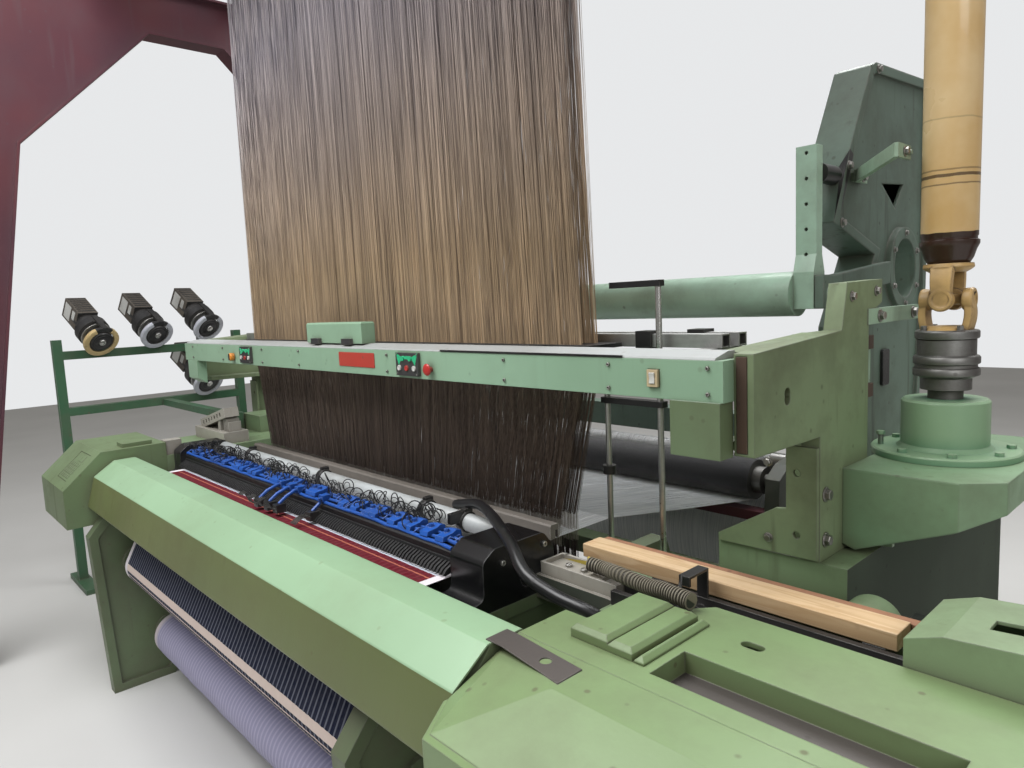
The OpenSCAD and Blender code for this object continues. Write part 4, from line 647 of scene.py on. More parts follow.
board.block((1143, -20, 958), (1880, 46, 992))
board.piece("pine_plank", "machine", pine, soft=2.5, instead=["plank"])
batten = Blank()
batten.block((1150, 46, 942), (1920, 72, 988))
batten.piece("reddish_batten", "machine", old_wood, soft=2)
packers = Blank()
packers.block((1354, -20, 930), (1394, 46, 958))
packers.block((1820, -20, 930), (1860, 46, 958))
packers.plate("x", 1490, 1516, [(-112, 1006), (-106, 1006), (-106, 1022), (-46, 1022), (-46, 962),
                                (-40, 962), (-40, 1028), (-112, 1028)])
packers.rod([(1496, -110, 1026), (1520, -150, 1020), (1560, -196, 1012), (1586, -214, 1007)], 3)
packers.rod([(1490, -108, 1012), (1500, -128, 990), (1512, -150, 964)], 2.5)
packers.piece("plank_bracket", "machine", black_paint, soft=1.5)

# Cloth: a woven furnishing cloth, drawn from the fell over the breast bar, down round the front
# of the take-up roller and on to the cloth roll. White borders, maroon ground, and on the
# roller the navy repeat with its cream band. It is one flat length of 1.90 m width.
def tangent_angles(c1, r1, c2, r2, sign, crossed=False):
    way = math.atan2(c2[1] - c1[1], c2[0] - c1[0])
    return way + sign * math.acos((r1 + r2 if crossed else r1 - r2) / math.dist(c1, c2))


def arc(centre, radius, start, stop, steps):
    angles = [start + (stop - start) * k / steps for k in range(steps + 1)]
    return [(centre[0] + radius * math.cos(a), centre[1] + radius * math.sin(a)) for a in angles]


cloth_width = 1900
edge_x = cloth_width / 2
fell_y, cloth_z = -115, 937
breast, takeup, roll_at = (-385, 921.7), (-500, 560), (-400, 215)
breast_radius, takeup_radius = 14, 75
on_breast, on_takeup, on_roll = 15.3, 76.5, 96.5
leave_breast = tangent_angles(breast, breast_radius, takeup, takeup_radius, -1) + 2 * math.pi
leave_takeup = tangent_angles(takeup, on_takeup, roll_at, on_roll, -1, crossed=True)
reach_roll = math.pi + leave_takeup
cloth_line = [(fell_y - 27 * k, cloth_z) for k in range(10)]
cloth_line += arc(breast, on_breast, math.pi / 2, leave_breast, 10)
cloth_line += arc(takeup, on_takeup, leave_breast, 2 * math.pi + leave_takeup, 26)
cloth_line += arc(roll_at, on_roll, reach_roll, reach_roll + 0.35, 4)
run = [0.0]
for a, b in zip(cloth_line, cloth_line[1:]):
    run.append(run[-1] + math.dist(a, b))
cloth_shape = bmesh.new()
columns = 96
uv_layer = cloth_shape.loops.layers.uv.new("flat")
grid = []
for (y, z), d in zip(cloth_line, run):
    row = []
    for k in range(columns + 1):
        x = -edge_x + cloth_width * k / columns
        row.append((cloth_shape.verts.new(loom(x, y, z)), x * 0.001, d * 0.001))
    grid.append(row)
for one, two in zip(grid, grid[1:]):
    for k in range(columns):
        corners = (one[k], one[k + 1], two[k + 1], two[k])
        face = cloth_shape.faces.new([c[0] for c in corners])
        face.smooth = True
        for loop, corner in zip(face.loops, corners):
            loop[uv_layer].uv = corner[1:]
bmesh.ops.recalc_face_normals(cloth_shape, faces=cloth_shape.faces)
cloth_mesh = bpy.data.meshes.new("woven_cloth")
cloth_shape.to_mesh(cloth_mesh)
cloth_shape.free()
cloth = bpy.data.objects.new("woven_cloth", cloth_mesh)
scene.collection.objects.link(cloth)


def cloth_finish(name, on_roll=False):
    """Weave by the flat length: bands across it, ribs along it, thread relief over all."""
    material, tree, shader = new_finish(name, Roughness=0.9, Sheen_Weight=0.02, Specular_IOR_Level=0.12)
    flat = put(tree, "ShaderNodeUVMap", uv_map="flat").outputs[0]
    parts = put(tree, "ShaderNodeSeparateXYZ", in_0=flat).outputs
    width, length = parts[0], parts[1]
    ribs = put(tree, "ShaderNodeTexWave", wave_profile="SIN", in_Scale=14.0, in_Vector=flat,
               in_Distortion=0.35, in_Detail=1.0).outputs["Fac"]
    fine = put(tree, "ShaderNodeTexWave", in_Scale=42.0, in_Vector=flat).outputs["Fac"]
    wobble = noise(tree, flat, 60.0, 2.0)
    shift = maths(tree, "MULTIPLY_ADD", wobble, 0.004, length)
    place = put(tree, "ShaderNodeMapRange", in_Value=shift, in_From_Min=0.0, in_From_Max=1.2).outputs[0]
    white, blue_white, cream = (0.72, 0.70, 0.72), (0.60, 0.64, 0.74), (0.66, 0.55, 0.50)
    maroon, salmon, navy = (0.105, 0.003, 0.011), (0.42, 0.13, 0.08), (0.010, 0.013, 0.035)
    bands = ramp(tree, place, [(0.0, white), (0.160, blue_white), (0.166, maroon), (0.182, salmon),
                               (0.1845, maroon), (0.213, white), (0.36, navy)], sharp=True)
    lower = ramp(tree, place, [(0.0, navy), (0.555, cream), (0.582, navy), (0.590, cream), (0.594, navy),
                               (0.606, cream), (0.610, navy), (0.640, (0.30, 0.31, 0.42))], sharp=True)
    low_part = mask(tree, place, 0.3599, 0.36)
    rib_show = maths(tree, "MULTIPLY", mask(tree, ribs, 0.72, 0.9), 0.8)
    ground = mixed(tree, low_part, bands, lower)
    is_dark = mask(tree, put(tree, "ShaderNodeRGBToBW", in_0=ground).outputs[0], 0.2, 0.05)
    line = maths(tree, "MULTIPLY", is_dark, rib_show)
    rib_tone = mixed(tree, low_part, (0.155, 0.016, 0.026), (0.17, 0.18, 0.23))
    shown = mixed(tree, line, ground, rib_tone)
    from_centre = maths(tree, "ABSOLUTE", width)
    border = mask(tree, from_centre, 0.918, 0.921)
    shown = mixed(tree, border, shown, (0.74, 0.70, 0.74))
    if on_roll:
        shown = mixed(tree, mask(tree, ribs, 0.45, 0.9), (0.29, 0.28, 0.40), (0.37, 0.36, 0.49))
        shown = mixed(tree, mask(tree, from_centre, 0.905, 0.93), shown, (0.55, 0.50, 0.52))
    soft = mixed(tree, mask(tree, wobble, 0.3, 0.75), shown, (0.5, 0.5, 0.5))
    tone = mixed(tree, 0.04, shown, soft)
    weave = maths(tree, "MULTIPLY_ADD", fine, 0.6, ribs)
    bump = put(tree, "ShaderNodeBump", in_Strength=0.5, in_Distance=0.0015, in_Height=weave).outputs[0]
    wire(tree, shader, Base_Color=tone, Normal=bump)
    return material


cloth_mesh.materials.append(cloth_finish("furnishing_cloth"))
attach(cloth, "machine")
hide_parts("cloth")

# Cloth roll and take-up roller: the roll winds the cloth in soft, slightly uneven layers, the
# roller grips it with a rough sleeve; both turn in the side frames.
roll = Blank()
rng = random.Random(7)
outer = []
roll_radius = 93.2
roll_axis = (0, *roll_at)
for k in range(41):
    x = -edge_x + cloth_width * k / 40
    sag = 1.5 * math.sin(k * 0.9) + rng.uniform(-0.8, 0.8)
    outer.append((x, roll_radius + sag * 0.6))
roll.turned("x", roll_axis, [(-952, 30), (-952, 90), *outer, (952, 90), (952, 30)], 64)
roll_piece = roll.piece("wound_cloth", "cloth_roll", cloth_finish("wound_cloth_layers", on_roll=True),
                        soft=0, instead=["cloth_roll"])
roll_uv = roll_piece.data.uv_layers.new(name="flat")
for face in roll_piece.data.polygons:
    for index in face.loop_indices:
        place = roll_piece.data.vertices[roll_piece.data.loops[index].vertex_index].co - loom(*roll_axis)
        roll_uv.data[index].uv = (place.x, math.atan2(place.z, place.y) * 0.095)
spindle = Blank()
for side in (-1, 1):
    spindle.turned("x", roll_axis, [(side * 953, 25), (side * 953, 40), (side * 986, 40), (side * 990, 36),
                                    (side * 990, 25), (side * 1086, 25), (side * 1088, 22)], 28)
spindle.piece("cloth_roll_spindle", "cloth_roll", dull_steel, soft=0.8)
dress("take_up_roller", black_paint)

# Cutter bar: a bright blue rail on a black comb whose teeth reach over the cloth. Blue rods, short
# strands and blocks lie on it, black spring-wire loops stand behind it as far as the tube, and
# four blue straps end in black fingers over the cloth.
across_tree = node_tree("Repeated across the width", "GeometryNodeTree",
                        {"Geometry": "Geometry", "Unit": "Object", "Count": "Int", "From": "Float",
                         "To": "Float", "Jitter": "Float", "Lift": "Float", "Tilt": "Float",
                         "Seed": "Int", "Finish": "Material"},
                        {"Geometry": "Geometry"})
given = put(across_tree, "NodeGroupInput").outputs


def signed(tree, amount, seed):
    """A random number between minus the amount and the amount."""
    low = maths(tree, "MULTIPLY", amount, -1.0)
    node = put(tree, "FunctionNodeRandomValue", data_type="FLOAT", in_Seed=seed)
    tree.links.new(low, node.inputs[2])
    tree.links.new(amount, node.inputs[3])
    return node.outputs[1]


line = put(across_tree, "GeometryNodeMeshLine", in_Count=given["Count"])
rank = put(across_tree, "GeometryNodeInputIndex").outputs[0]
last = maths(across_tree, "SUBTRACT", given["Count"], 1.0)
share = put(across_tree, "ShaderNodeMapRange", in_Value=rank, in_From_Max=last, in_To_Min=given["From"],
            in_To_Max=given["To"], clamp=False).outputs[0]
second_seed = maths(across_tree, "ADD", given["Seed"], 17.0)
third_seed = maths(across_tree, "ADD", given["Seed"], 41.0)
moved = maths(across_tree, "ADD", share, signed(across_tree, given["Jitter"], given["Seed"]))
spot = put(across_tree, "ShaderNodeCombineXYZ", in_X=moved,
           in_Z=signed(across_tree, given["Lift"], second_seed)).outputs[0]
lined = put(across_tree, "GeometryNodeSetPosition", in_Geometry=line.outputs[0], in_Position=spot)
lean = put(across_tree, "ShaderNodeCombineXYZ",
           in_Y=signed(across_tree, given["Tilt"], third_seed)).outputs[0]
shape = put(across_tree, "GeometryNodeObjectInfo", in_Object=given["Unit"]).outputs["Geometry"]
spread = put(across_tree, "GeometryNodeInstanceOnPoints", in_Points=lined.outputs[0], in_Instance=shape,
             in_Rotation=lean)
solid = put(across_tree, "GeometryNodeRealizeInstances", in_Geometry=spread.outputs[0])
placed = put(across_tree, "GeometryNodeTransform", in_Geometry=solid.outputs[0],
             in_Translation=WEAVING_CENTRE)
coated = put(across_tree, "GeometryNodeSetMaterial", in_Geometry=placed.outputs[0],
             in_Material=given["Finish"])
put(across_tree, "NodeGroupOutput", in_Geometry=coated.outputs[0])


def repeated(name, body, unit, material, count, start, stop, jitter=0.0, lift=0.0, tilt=0.0, seed=1,
             instead=()):
    """Repeats a loose unit drawn at x = 0 from start to stop across the loom."""
    mesh = bpy.data.meshes.new(name + "_places")
    mesh.from_pydata([(0, 0, 0)], [], [])
    made = settle(mesh, across_tree, name, body, instead, Unit=unit, Count=count, From=start * 0.001,
                  To=stop * 0.001,
                  Jitter=jitter * 0.001, Lift=lift * 0.001, Tilt=tilt, Seed=seed, Finish=material)
    bpy.data.objects.remove(unit)
    return made


blue_enamel = painted("blue_enamel", (0.012, 0.10, 0.46), (0.010, 0.06, 0.30), bare=(0.25, 0.35, 0.60),
                      dirt_and_shade=(0.01, 0.02, 0.06), rough=0.35, dust=0.5)
comb = Blank()
comb.plate("x", -1000, 960, [(-285, 950), (-278, 974), (-225, 974), (-225, 948), (-283, 948)])
comb_black = painted("comb_black", (0.006, 0.006, 0.008), (0.004, 0.004, 0.005), bare=(0.10, 0.10, 0.10),
                     dirt_and_shade=(0.02, 0.02, 0.02), rough=0.4, dust=0.08)
comb.piece("comb_strip", "machine", comb_black, soft=1, instead=["cutter_bar"])
tooth = Blank()
tooth.plate("x", -3.6, 3.6, [(-281, 968), (-304, 957), (-314, 946), (-308, 941), (-284, 948)])
repeated("comb_teeth", "machine", tooth.loose("tooth"), comb_black, 140, -985, 945)
rail = Blank()
rail.plate("x", -1000, 960, [(-275, 974), (-275, 988), (-268, 994), (-212, 998), (-205, 992), (-205, 974)])
rail.finish = 1
rng = random.Random(3)
for y, z, r in ((-268, 997, 6), (-250, 1003, 6), (-232, 1006, 5), (-214, 1003, 5)):
    path = [(x, y + rng.uniform(-3, 3), z + rng.uniform(-1.5, 2.5)) for x in range(-990, 951, 60)]
    rail.rod(path, r, 8)
for _ in range(150):
    x, y = rng.uniform(-985, 925), rng.uniform(-272, -222)
    crest = (x + rng.uniform(4, 12), y + 14, 1013)
    landing = (x + rng.uniform(-6, 22), y + rng.uniform(20, 40), 1004)
    rail.rod([(x, y, 1004), crest, landing], 2.6, 6)
rail.piece("blue_rail", "machine", comb_black, blue_enamel, soft=1)
block = Blank()
block.plate("x", 0, 34, [(-270, 1004), (-266, 1016), (-236, 1020), (-222, 1026), (-208, 1022),
                         (-206, 1002)])
block.rod([(12, -238, 1014), (12, -238, 1029)], 7, 8)
repeated("blue_blocks", "machine", block.loose("block"), blue_enamel, 26, -988, 900, jitter=14, tilt=0.06,
         seed=4)
loop = Blank()
loop_radius, gap_angle = 22, 0.35
ring = []
for k in range(15):
    a = gap_angle + 2 * (math.pi - gap_angle) * k / 14
    ring.append((math.sin(a) * loop_radius, math.cos(a) * 4, 20 - math.cos(a) * loop_radius))
loop.rod(ring, 1.9, 5)
loop_places = []
for _ in range(210):
    x = -985 + 1720 * rng.random() ** 1.2
    lean = (rng.uniform(-0.7, 0.7), rng.uniform(-0.9, 0.5), 1)
    loop_places.append((x, rng.uniform(-245, -150), rng.uniform(1000, 1014), lean, rng.uniform(0.55, 1.05)))
fixings("spring_wire_loops", "machine", loop.loose("loop"), loop_places, comb_black, seed=8)
straps = Blank()
fingers = Blank()
for x, y_end in ((-36, -372), (34, -368), (92, -362), (262, -330)):
    straps.rod([(x, -262, 1008), (x + 4, -284, 1010), (x, y_end + 50, 996), (x - 2, y_end + 22, 975)], 6, 6)
    straps.block((x - 13, -276, 1000), (x + 13, -248, 1020))
    fingers.block((x - 15, y_end + 6, 948), (x + 15, y_end + 40, 976))
    bend_z, tip_z = (962, 950) if y_end > -340 else (1008, 1002)
    for k in range(5):
        a = x - 14 + 7 * k
        tip = (a - 5 + k, y_end - 44, tip_z)
        wire_path = [(a, y_end + 10, 962), (a - 1, y_end - 8, 968), (a - 3, y_end - 26, bend_z), tip]
        fingers.rod(wire_path, 1.8, 5)
straps.piece("blue_straps", "machine", blue_enamel, soft=0.8)
fingers.piece("black_fingers", "machine", black_paint, soft=0.8)

# Suction tube and cheeks: a pale tube takes off the weft waste behind the rail; two black
# cast cheeks with softened outlines carry the rail and the tube on the side frames.
pale_tube = painted("pale_tube", (0.50, 0.53, 0.54), (0.38, 0.41, 0.43), dirt_and_shade=(0.16, 0.15, 0.13), dust=0.7,
                    streak=0.0, rough=0.32)
tube_axis = (0, -100, 995)
tube = Blank()
tube.turned("x", tube_axis, [(-1000, 21), (-1000, 24), (-998, 25), (958, 25), (960, 24), (960, 21)], 40)
tube.piece("suction_tube", "machine", pale_tube, soft=0, instead=["yarn_tube"])
rings = Blank()
for x in (-700, -60, 580, 765):
    rings.turned("x", tube_axis, [(x, 25.5), (x, 30), (x + 2, 31), (x + 24, 31), (x + 26, 30),
                                  (x + 26, 25.5)], 32)
    rings.block((x + 4, -110, 1022), (x + 22, -82, 1034))
rings.block((770, -160, 1000), (786, -112, 1030))
rings.piece("tube_clips", "machine", black_paint, soft=1)
gloss_black = painted("gloss_black", (0.006, 0.006, 0.007), (0.004, 0.004, 0.005), bare=(0.30, 0.30, 0.31),
                      dirt_and_shade=(0.03, 0.03, 0.03), rough=0.22, dust=0.06, spots=0.1, streak=0.0, radius=0.003)
cheek = Blank()
outline = bent_path([(-235, 880), (-60, 880), (-66, 990), (-100, 1030), (-262, 1030), (-300, 1004),
                     (-300, 912), (-405, 907), (-405, 880), (-235, 880)], 22, 4)
hole = circle((-160, 930), 22, 24)
for x0, x1 in ((960, 1084), (-1084, -1000)):
    cheek.plate("x", x0, x1, [tuple(p) for p in outline[:-1]], [hole])
cheek.piece("black_cheeks", "machine", gloss_black, soft=5, instead=["cheek_castings"])
cheek_screws = []
for side in (1, -1):
    for y, z in ((-340, 893), (-90, 905), (-240, 990), (-100, 1000)):
        cheek_screws.append((side * 1084, y, z, (side, 0, 0), 1.4))
cheek_screws += [(1150, -80, 950, (0, 0, 1), 1.6), (1200, -80, 950, (0, 0, 1), 1.6),
                 (1110, -44, 962, (0, 0, 1), 0.7), (1300, -44, 962, (0, 0, 1), 0.7)]
fixings("cheek_screws", "machine", cap_screw(), cheek_screws, ground_steel)
yellow = painted("yellow_clip", (0.62, 0.48, 0.03), (0.45, 0.34, 0.02), rough=0.5)
tan_steel = painted("tan_steel", (0.42, 0.40, 0.36), (0.30, 0.28, 0.24), bare=(0.60, 0.60, 0.58),
                    dirt_and_shade=(0.10, 0.09, 0.07), rough=0.35, dust=0.5, wear=1.0)
dress("slide_box", tan_steel, (yellow, (1178, -47, 949), (1206, -39, 974)),
      (dark_casting, (1083, -131, 869), (1335, -29, 929)))

# Sley and reed: a cast beam on rocking legs with hooked guide teeth; the reed's flat steel dents
# stand between its foot and a broad grey-brown cap, worn pale on the top.
cap_finish = painted("worn_cap", (0.19, 0.17, 0.15), (0.13, 0.115, 0.10), bare=(0.55, 0.52, 0.48),
                     dirt_and_shade=(0.09, 0.08, 0.07), rough=0.5, dust=0.6, wear=1.0, radius=0.003)
dress("sley", dark_casting)
cap = Blank()
cap.plate("x", -980, 980, [(30, 950), (50, 950), (50, 974), (60, 974), (60, 950), (64, 950), (64, 988),
                           (60, 992), (34, 992), (30, 988)])
cap.piece("reed_cap", "sley", cap_finish, soft=1, instead=["reed"])
foot = Blank()
foot.plate("x", -1000, 1000, [(34, 866), (56, 866), (56, 880), (54, 882), (36, 882), (34, 880)])
foot.piece("reed_foot", "sley", dull_steel, soft=0.6)
dent = Blank()
dent.block((-0.35, 40, 880), (0.35, 48, 951))
repeated("reed_dents", "sley", dent.loose("dent"), ground_steel, 480, -edge_x, edge_x)
slug = Blank()
slug.skin([[(x, 12.5 - w, 898 - h), (x, 12.5 + w, 898 - h), (x, 12.5 + w, 898 + h), (x, 12.5 - w, 898 + h)]
           for x, w, h in ((-960, 5, 2.2), (-952, 7, 3.3), (-892, 7, 3.3), (-876, 5.5, 2.6),
                           (-870, 3, 1.2))])
slug.piece("steel_projectile", "projectile", ground_steel, soft=0.8, instead=["projectile"])

# Warp: some nine hundred white ends run from the beam over the rear bar, under the black back
# roller and through the harness to the fell; the beam holds them between drilled flanges.
warp_white, tree, shader = new_finish("warp_yarn", Roughness=0.8, Sheen_Weight=0.3)
spot = object_place(tree)
drawn = put(tree, "ShaderNodeMapping", in_Vector=spot, in_Scale=(420, 6, 6))
tone = noise(tree, drawn.outputs[0], 1.0, 1.0)
wire(tree, shader, Base_Color=ramp(tree, tone, [(0.3, (0.62, 0.64, 0.67)), (0.6, (0.86, 0.87, 0.88))]))
back, rear_bar, beam = (1205, 878), (1340, 925), (1560, 560)
back_radius, bar_radius, beam_radius = 80, 37, 302
beam_axis = (0, *beam)
leave_level = (320, cloth_z)
onto_back = tangent_angles(leave_level, 0, back, back_radius, -1)
off_back = tangent_angles(back, back_radius, rear_bar, bar_radius, -1, crossed=True)
onto_beam = tangent_angles(rear_bar, bar_radius, beam, beam_radius, 1)
fall = back[1] + back_radius * math.sin(onto_back) - cloth_z
warp_line = [(-111, cloth_z), (-60, cloth_z), (230, cloth_z), leave_level, (700, cloth_z + fall * 0.45)]
warp_line += arc(back, back_radius, onto_back, off_back, 8)
warp_line += arc(rear_bar, bar_radius, math.pi + off_back, onto_beam, 10)
warp_line += arc(beam, beam_radius, onto_beam, onto_beam - 0.25, 3)
end = Blank()
end.rod([(0, y, z) for y, z in warp_line], 0.75, 3)
repeated("warp_ends", "machine", end.loose("end"), warp_white, 900, -948, 948, jitter=0.6, lift=0.9,
         seed=12, instead=["warp_sheet"])
yarn = Blank()
rng = random.Random(5)
layers = [(-956 + 1912 * k / 64, 299 + rng.uniform(-0.9, 0.9)) for k in range(65)]
yarn.turned("x", beam_axis, [(-956, 60), *layers, (956, 60)], 72)
yarn.piece("wound_warp", "warp_beam", warp_white, soft=0, instead=["warp_beam"])
flange = Blank()
holes = [circle(hole_at, 50, 20) for hole_at in circle(beam, 200, 6)]
rim = circle(beam, 350, 72)
for side in (-1, 1):
    flange.plate("x", *sorted((side * 956, side * 968)), rim, holes)
    flange.turned("x", beam_axis, [(side * 968, 25), (side * 968, 90), (side * 982, 88), (side * 986, 84),
                                   (side * 986, 25)], 40)
    flange.turned("x", beam_axis, [(side * 960, 24.5), (side * 1080, 24.5), (side * 1084, 22)], 28)
    for inner, outer in zip(circle(beam, 95, 6, math.pi / 6), circle(beam, 330, 6, math.pi / 6)):
        flange.rod([(side * 968, *inner), (side * 968, *outer)], 7, 6)
flange.piece("beam_flanges", "warp_beam", dull_steel, soft=1.2)
fuzzy, tree, shader = new_finish("black_plush", Roughness=0.95, Sheen_Weight=0.6, Sheen_Roughness=0.4)
spot = object_place(tree)
pile = noise(tree, spot, 380.0, 3.0)
wire(tree, shader, Base_Color=ramp(tree, pile, [(0.35, (0.004, 0.004, 0.005)),
                                                (0.75, (0.035, 0.035, 0.04))]),
     Normal=put(tree, "ShaderNodeBump", in_Strength=1.0, in_Distance=0.003, in_Height=pile).outputs[0])
dress("back_roller", fuzzy, (dull_steel, (956, 1100, 770), (1090, 1300, 990)),
      (dull_steel, (-1090, 1100, 770), (-956, 1300, 990)))

# Comber board and its rails: a black drilled board spaces the cords over the warp; two pale
# folded channels behind the beam stiffen it, with black clips near the drive end.
pale_metal = metal("pale_channel", (0.62, 0.63, 0.62), 0.42, grain=(8, 60, 60), dust=0.7)
dress("comber_frame", pale_metal, (black_paint, (-1110, 80, 1469), (1110, 211.5, 1483)),
      (black_paint, (1148, 204, 1462), (1202, 256, 1514)),
      (black_paint, (1256, 282, 1462), (1310, 334, 1514)))

# Harness: thousands of cords drop from the head through the board, each to its heddle eye over the
# warp and its spring below, in two parts that lift in turn. The fan is waxed light brown with a
# grey top; the heddles and springs are darker, partly dark metal and partly painted shade, and all
# cords carry painted shade that darkens them towards the bottom.
def cord_finish(name, light, dark, bottom, top):
    """Waxed cord: each one a little lighter or darker, grey high up, darkened by painted shade towards the
    bottom.
    """
    material, tree, shader = new_finish(name, Roughness=0.62, Specular_IOR_Level=0.35)
    spot = object_place(tree)
    column = put(tree, "ShaderNodeMapping", in_Vector=spot, in_Scale=(260, 40, 0.7))
    vary = noise(tree, column.outputs[0], 1.0, 2.0)
    cloudy = noise(tree, spot, 2.2, 3.0)
    colour = ramp(tree, vary, [(0.30, dark), (0.48, tuple((a + b) / 2 for a, b in zip(light, dark))),
                               (0.70, light)])
    dull = mixed(tree, mask(tree, cloudy, 0.45, 1.1), colour, tuple(c * 0.7 for c in dark))
    height = put(tree, "ShaderNodeSeparateXYZ", in_0=spot).outputs[2]
    # Painted shade: below the bottom height the cord is darkened, rising to its full colour at the top
    # height.
    low = mask(tree, height, bottom * 0.001, top * 0.001)
    pale = mixed(tree, mask(tree, height, 1.75, 2.7), dull,
                 mixed(tree, mask(tree, vary, 0.35, 0.65), (0.13, 0.12, 0.15), (0.58, 0.52, 0.54)))
    wire(tree, shader, Base_Color=mixed(tree, low, tuple(c * 0.35 for c in dark), pale))
    return material


cord_tree = node_tree("Harness cords", "GeometryNodeTree",
                      {"Geometry": "Geometry", "Count": "Int", "Low": "Vector", "High": "Vector",
                       "Low spread": "Vector", "High spread": "Vector", "Thickness": "Float", "Seed": "Int",
                       "Finish": "Material"},
                      {"Geometry": "Geometry"})
given = put(cord_tree, "NodeGroupInput").outputs
line = put(cord_tree, "GeometryNodeMeshLine", in_Count=given["Count"])
rank = put(cord_tree, "GeometryNodeInputIndex").outputs[0]
share = put(cord_tree, "ShaderNodeMapRange", in_Value=rank, in_From_Max=given["Count"], in_To_Min=-1.0,
            in_To_Max=1.0).outputs[0]


def cord_end(centre, spread, seed_shift):
    """Where a cord ends: its place across the set with a little scatter, and its row in depth."""
    row_seed = maths(cord_tree, "ADD", given["Seed"], 3.0)
    drawn = put(cord_tree, "FunctionNodeRandomValue", data_type="FLOAT", in_Seed=row_seed).outputs[1]
    centred = maths(cord_tree, "ADD", drawn, -0.5)
    row = maths(cord_tree, "MULTIPLY", centred, 2.0)
    own_seed = maths(cord_tree, "ADD", given["Seed"], float(seed_shift))
    loose = put(cord_tree, "FunctionNodeRandomValue", data_type="FLOAT", in_Seed=own_seed)
    loose.inputs[2].default_value = -0.0035
    loose.inputs[3].default_value = 0.0035
    place = maths(cord_tree, "ADD", share, loose.outputs[1])
    unit = put(cord_tree, "ShaderNodeCombineXYZ", in_X=place, in_Y=row).outputs[0]
    scaled = put(cord_tree, "ShaderNodeVectorMath", operation="MULTIPLY", in_0=unit, in_1=spread).outputs[0]
    return put(cord_tree, "ShaderNodeVectorMath", operation="ADD", in_0=scaled, in_1=centre).outputs[0]


low_end = cord_end(given["Low"], given["Low spread"], 11)
high_end = cord_end(given["High"], given["High spread"], 23)
placed = put(cord_tree, "GeometryNodeSetPosition", in_Geometry=line.outputs[0], in_Position=low_end)
reach = put(cord_tree, "ShaderNodeVectorMath", operation="SUBTRACT", in_0=high_end, in_1=low_end).outputs[0]
span = put(cord_tree, "ShaderNodeVectorMath", operation="LENGTH", in_0=reach).outputs["Value"]
aim = put(cord_tree, "FunctionNodeAlignRotationToVector", axis="Z", in_Vector=reach).outputs[0]
strand = put(cord_tree, "GeometryNodeMeshCylinder", fill_type="NONE", in_Vertices=4, in_Radius=1.0,
             in_Depth=1.0)
raised = put(cord_tree, "GeometryNodeTransform", in_Geometry=strand.outputs[0], in_Translation=(0, 0, 0.5))
size = put(cord_tree, "ShaderNodeCombineXYZ", in_X=given["Thickness"], in_Y=given["Thickness"],
           in_Z=span).outputs[0]
spread = put(cord_tree, "GeometryNodeInstanceOnPoints", in_Points=placed.outputs[0],
             in_Instance=raised.outputs[0], in_Rotation=aim, in_Scale=size)
solid = put(cord_tree, "GeometryNodeRealizeInstances", in_Geometry=spread.outputs[0])
coated = put(cord_tree, "GeometryNodeSetMaterial", in_Geometry=solid.outputs[0],
             in_Material=given["Finish"])
put(cord_tree, "NodeGroupOutput", in_Geometry=coated.outputs[0])


def cords(name, body, material, count, low, high, low_spread, high_spread, radius, seed, instead=()):
    """A set of straight cords between two levels, given in loom millimetres."""
    mesh = bpy.data.meshes.new(name + "_places")
    mesh.from_pydata([(0, 0, 0)], [], [])
    return settle(mesh, cord_tree, name, body, instead, Count=count, Low=loom(*low), High=loom(*high),
                  Low_spread=Vector(low_spread) * 0.001, High_spread=Vector(high_spread) * 0.001,
                  Thickness=radius * 0.001, Seed=seed, Finish=material)


fan_cord = cord_finish("fan_cord", (0.66, 0.49, 0.31), (0.20, 0.145, 0.10), 1300, 1480)
# The heddle and spring cords are darker partly as dark metal and partly as painted shade.
heddle_cord = cord_finish("heddle_cord", (0.30, 0.22, 0.17), (0.062, 0.046, 0.040), 850, 1330)
bright_heddle, tree, shader = new_finish("heddle_eye", Metallic=1.0, Roughness=0.35,
                                         Base_Color=(0.42, 0.38, 0.34, 1))
spot = object_place(tree)
speck = noise(tree, spot, 90.0)
wire(tree, shader, Roughness=between(tree, speck, 0.2, 0.7))
foot_z, eye_z, heddle_z, board_z, hook_z = 612, 905, 985, 1400, 3575
at_foot, at_eye, at_board, at_hook = (948, 8, 0), (948, 11, 0), (1049, 3.6, 0), (970, 44, 0)
for set_name, y, low_y, high_y, seed in (("front", 108, 108, 112, 1), ("rear", 172, 172, 168, 2)):
    body = "harness_" + set_name
    cords(body + "_fan", body, fan_cord, 4200, (0, y, board_z), (0, high_y, hook_z), at_board, at_hook,
          0.7, seed, [body])
    cords(body + "_heddles", body, heddle_cord, 3600, (0, low_y, heddle_z), (0, y, board_z), at_eye,
          at_board,
          0.55, seed + 4)
    cords(body + "_eyes", body, bright_heddle, 2200, (0, low_y, eye_z), (0, low_y, heddle_z), at_eye,
          at_eye,
          0.5, seed + 8)
    cords(body + "_springs", body, heddle_cord, 2200, (0, y, foot_z), (0, low_y, eye_z), at_foot, at_eye,
          0.9, seed + 12)
    bars = Blank()
    bars.plate("y", y - 10, y + 10, [(-985, 3560), (985, 3560), (988, 3563), (988, 3584), (-988, 3584),
                                     (-988, 3563)])
    bars.plate("y", y - 6, y + 6, [(-956, 600), (956, 600), (956, 620), (952, 622), (-952, 622),
                                   (-956, 620)])
    bars.piece(body + "_bars", body, dull_steel, soft=1)

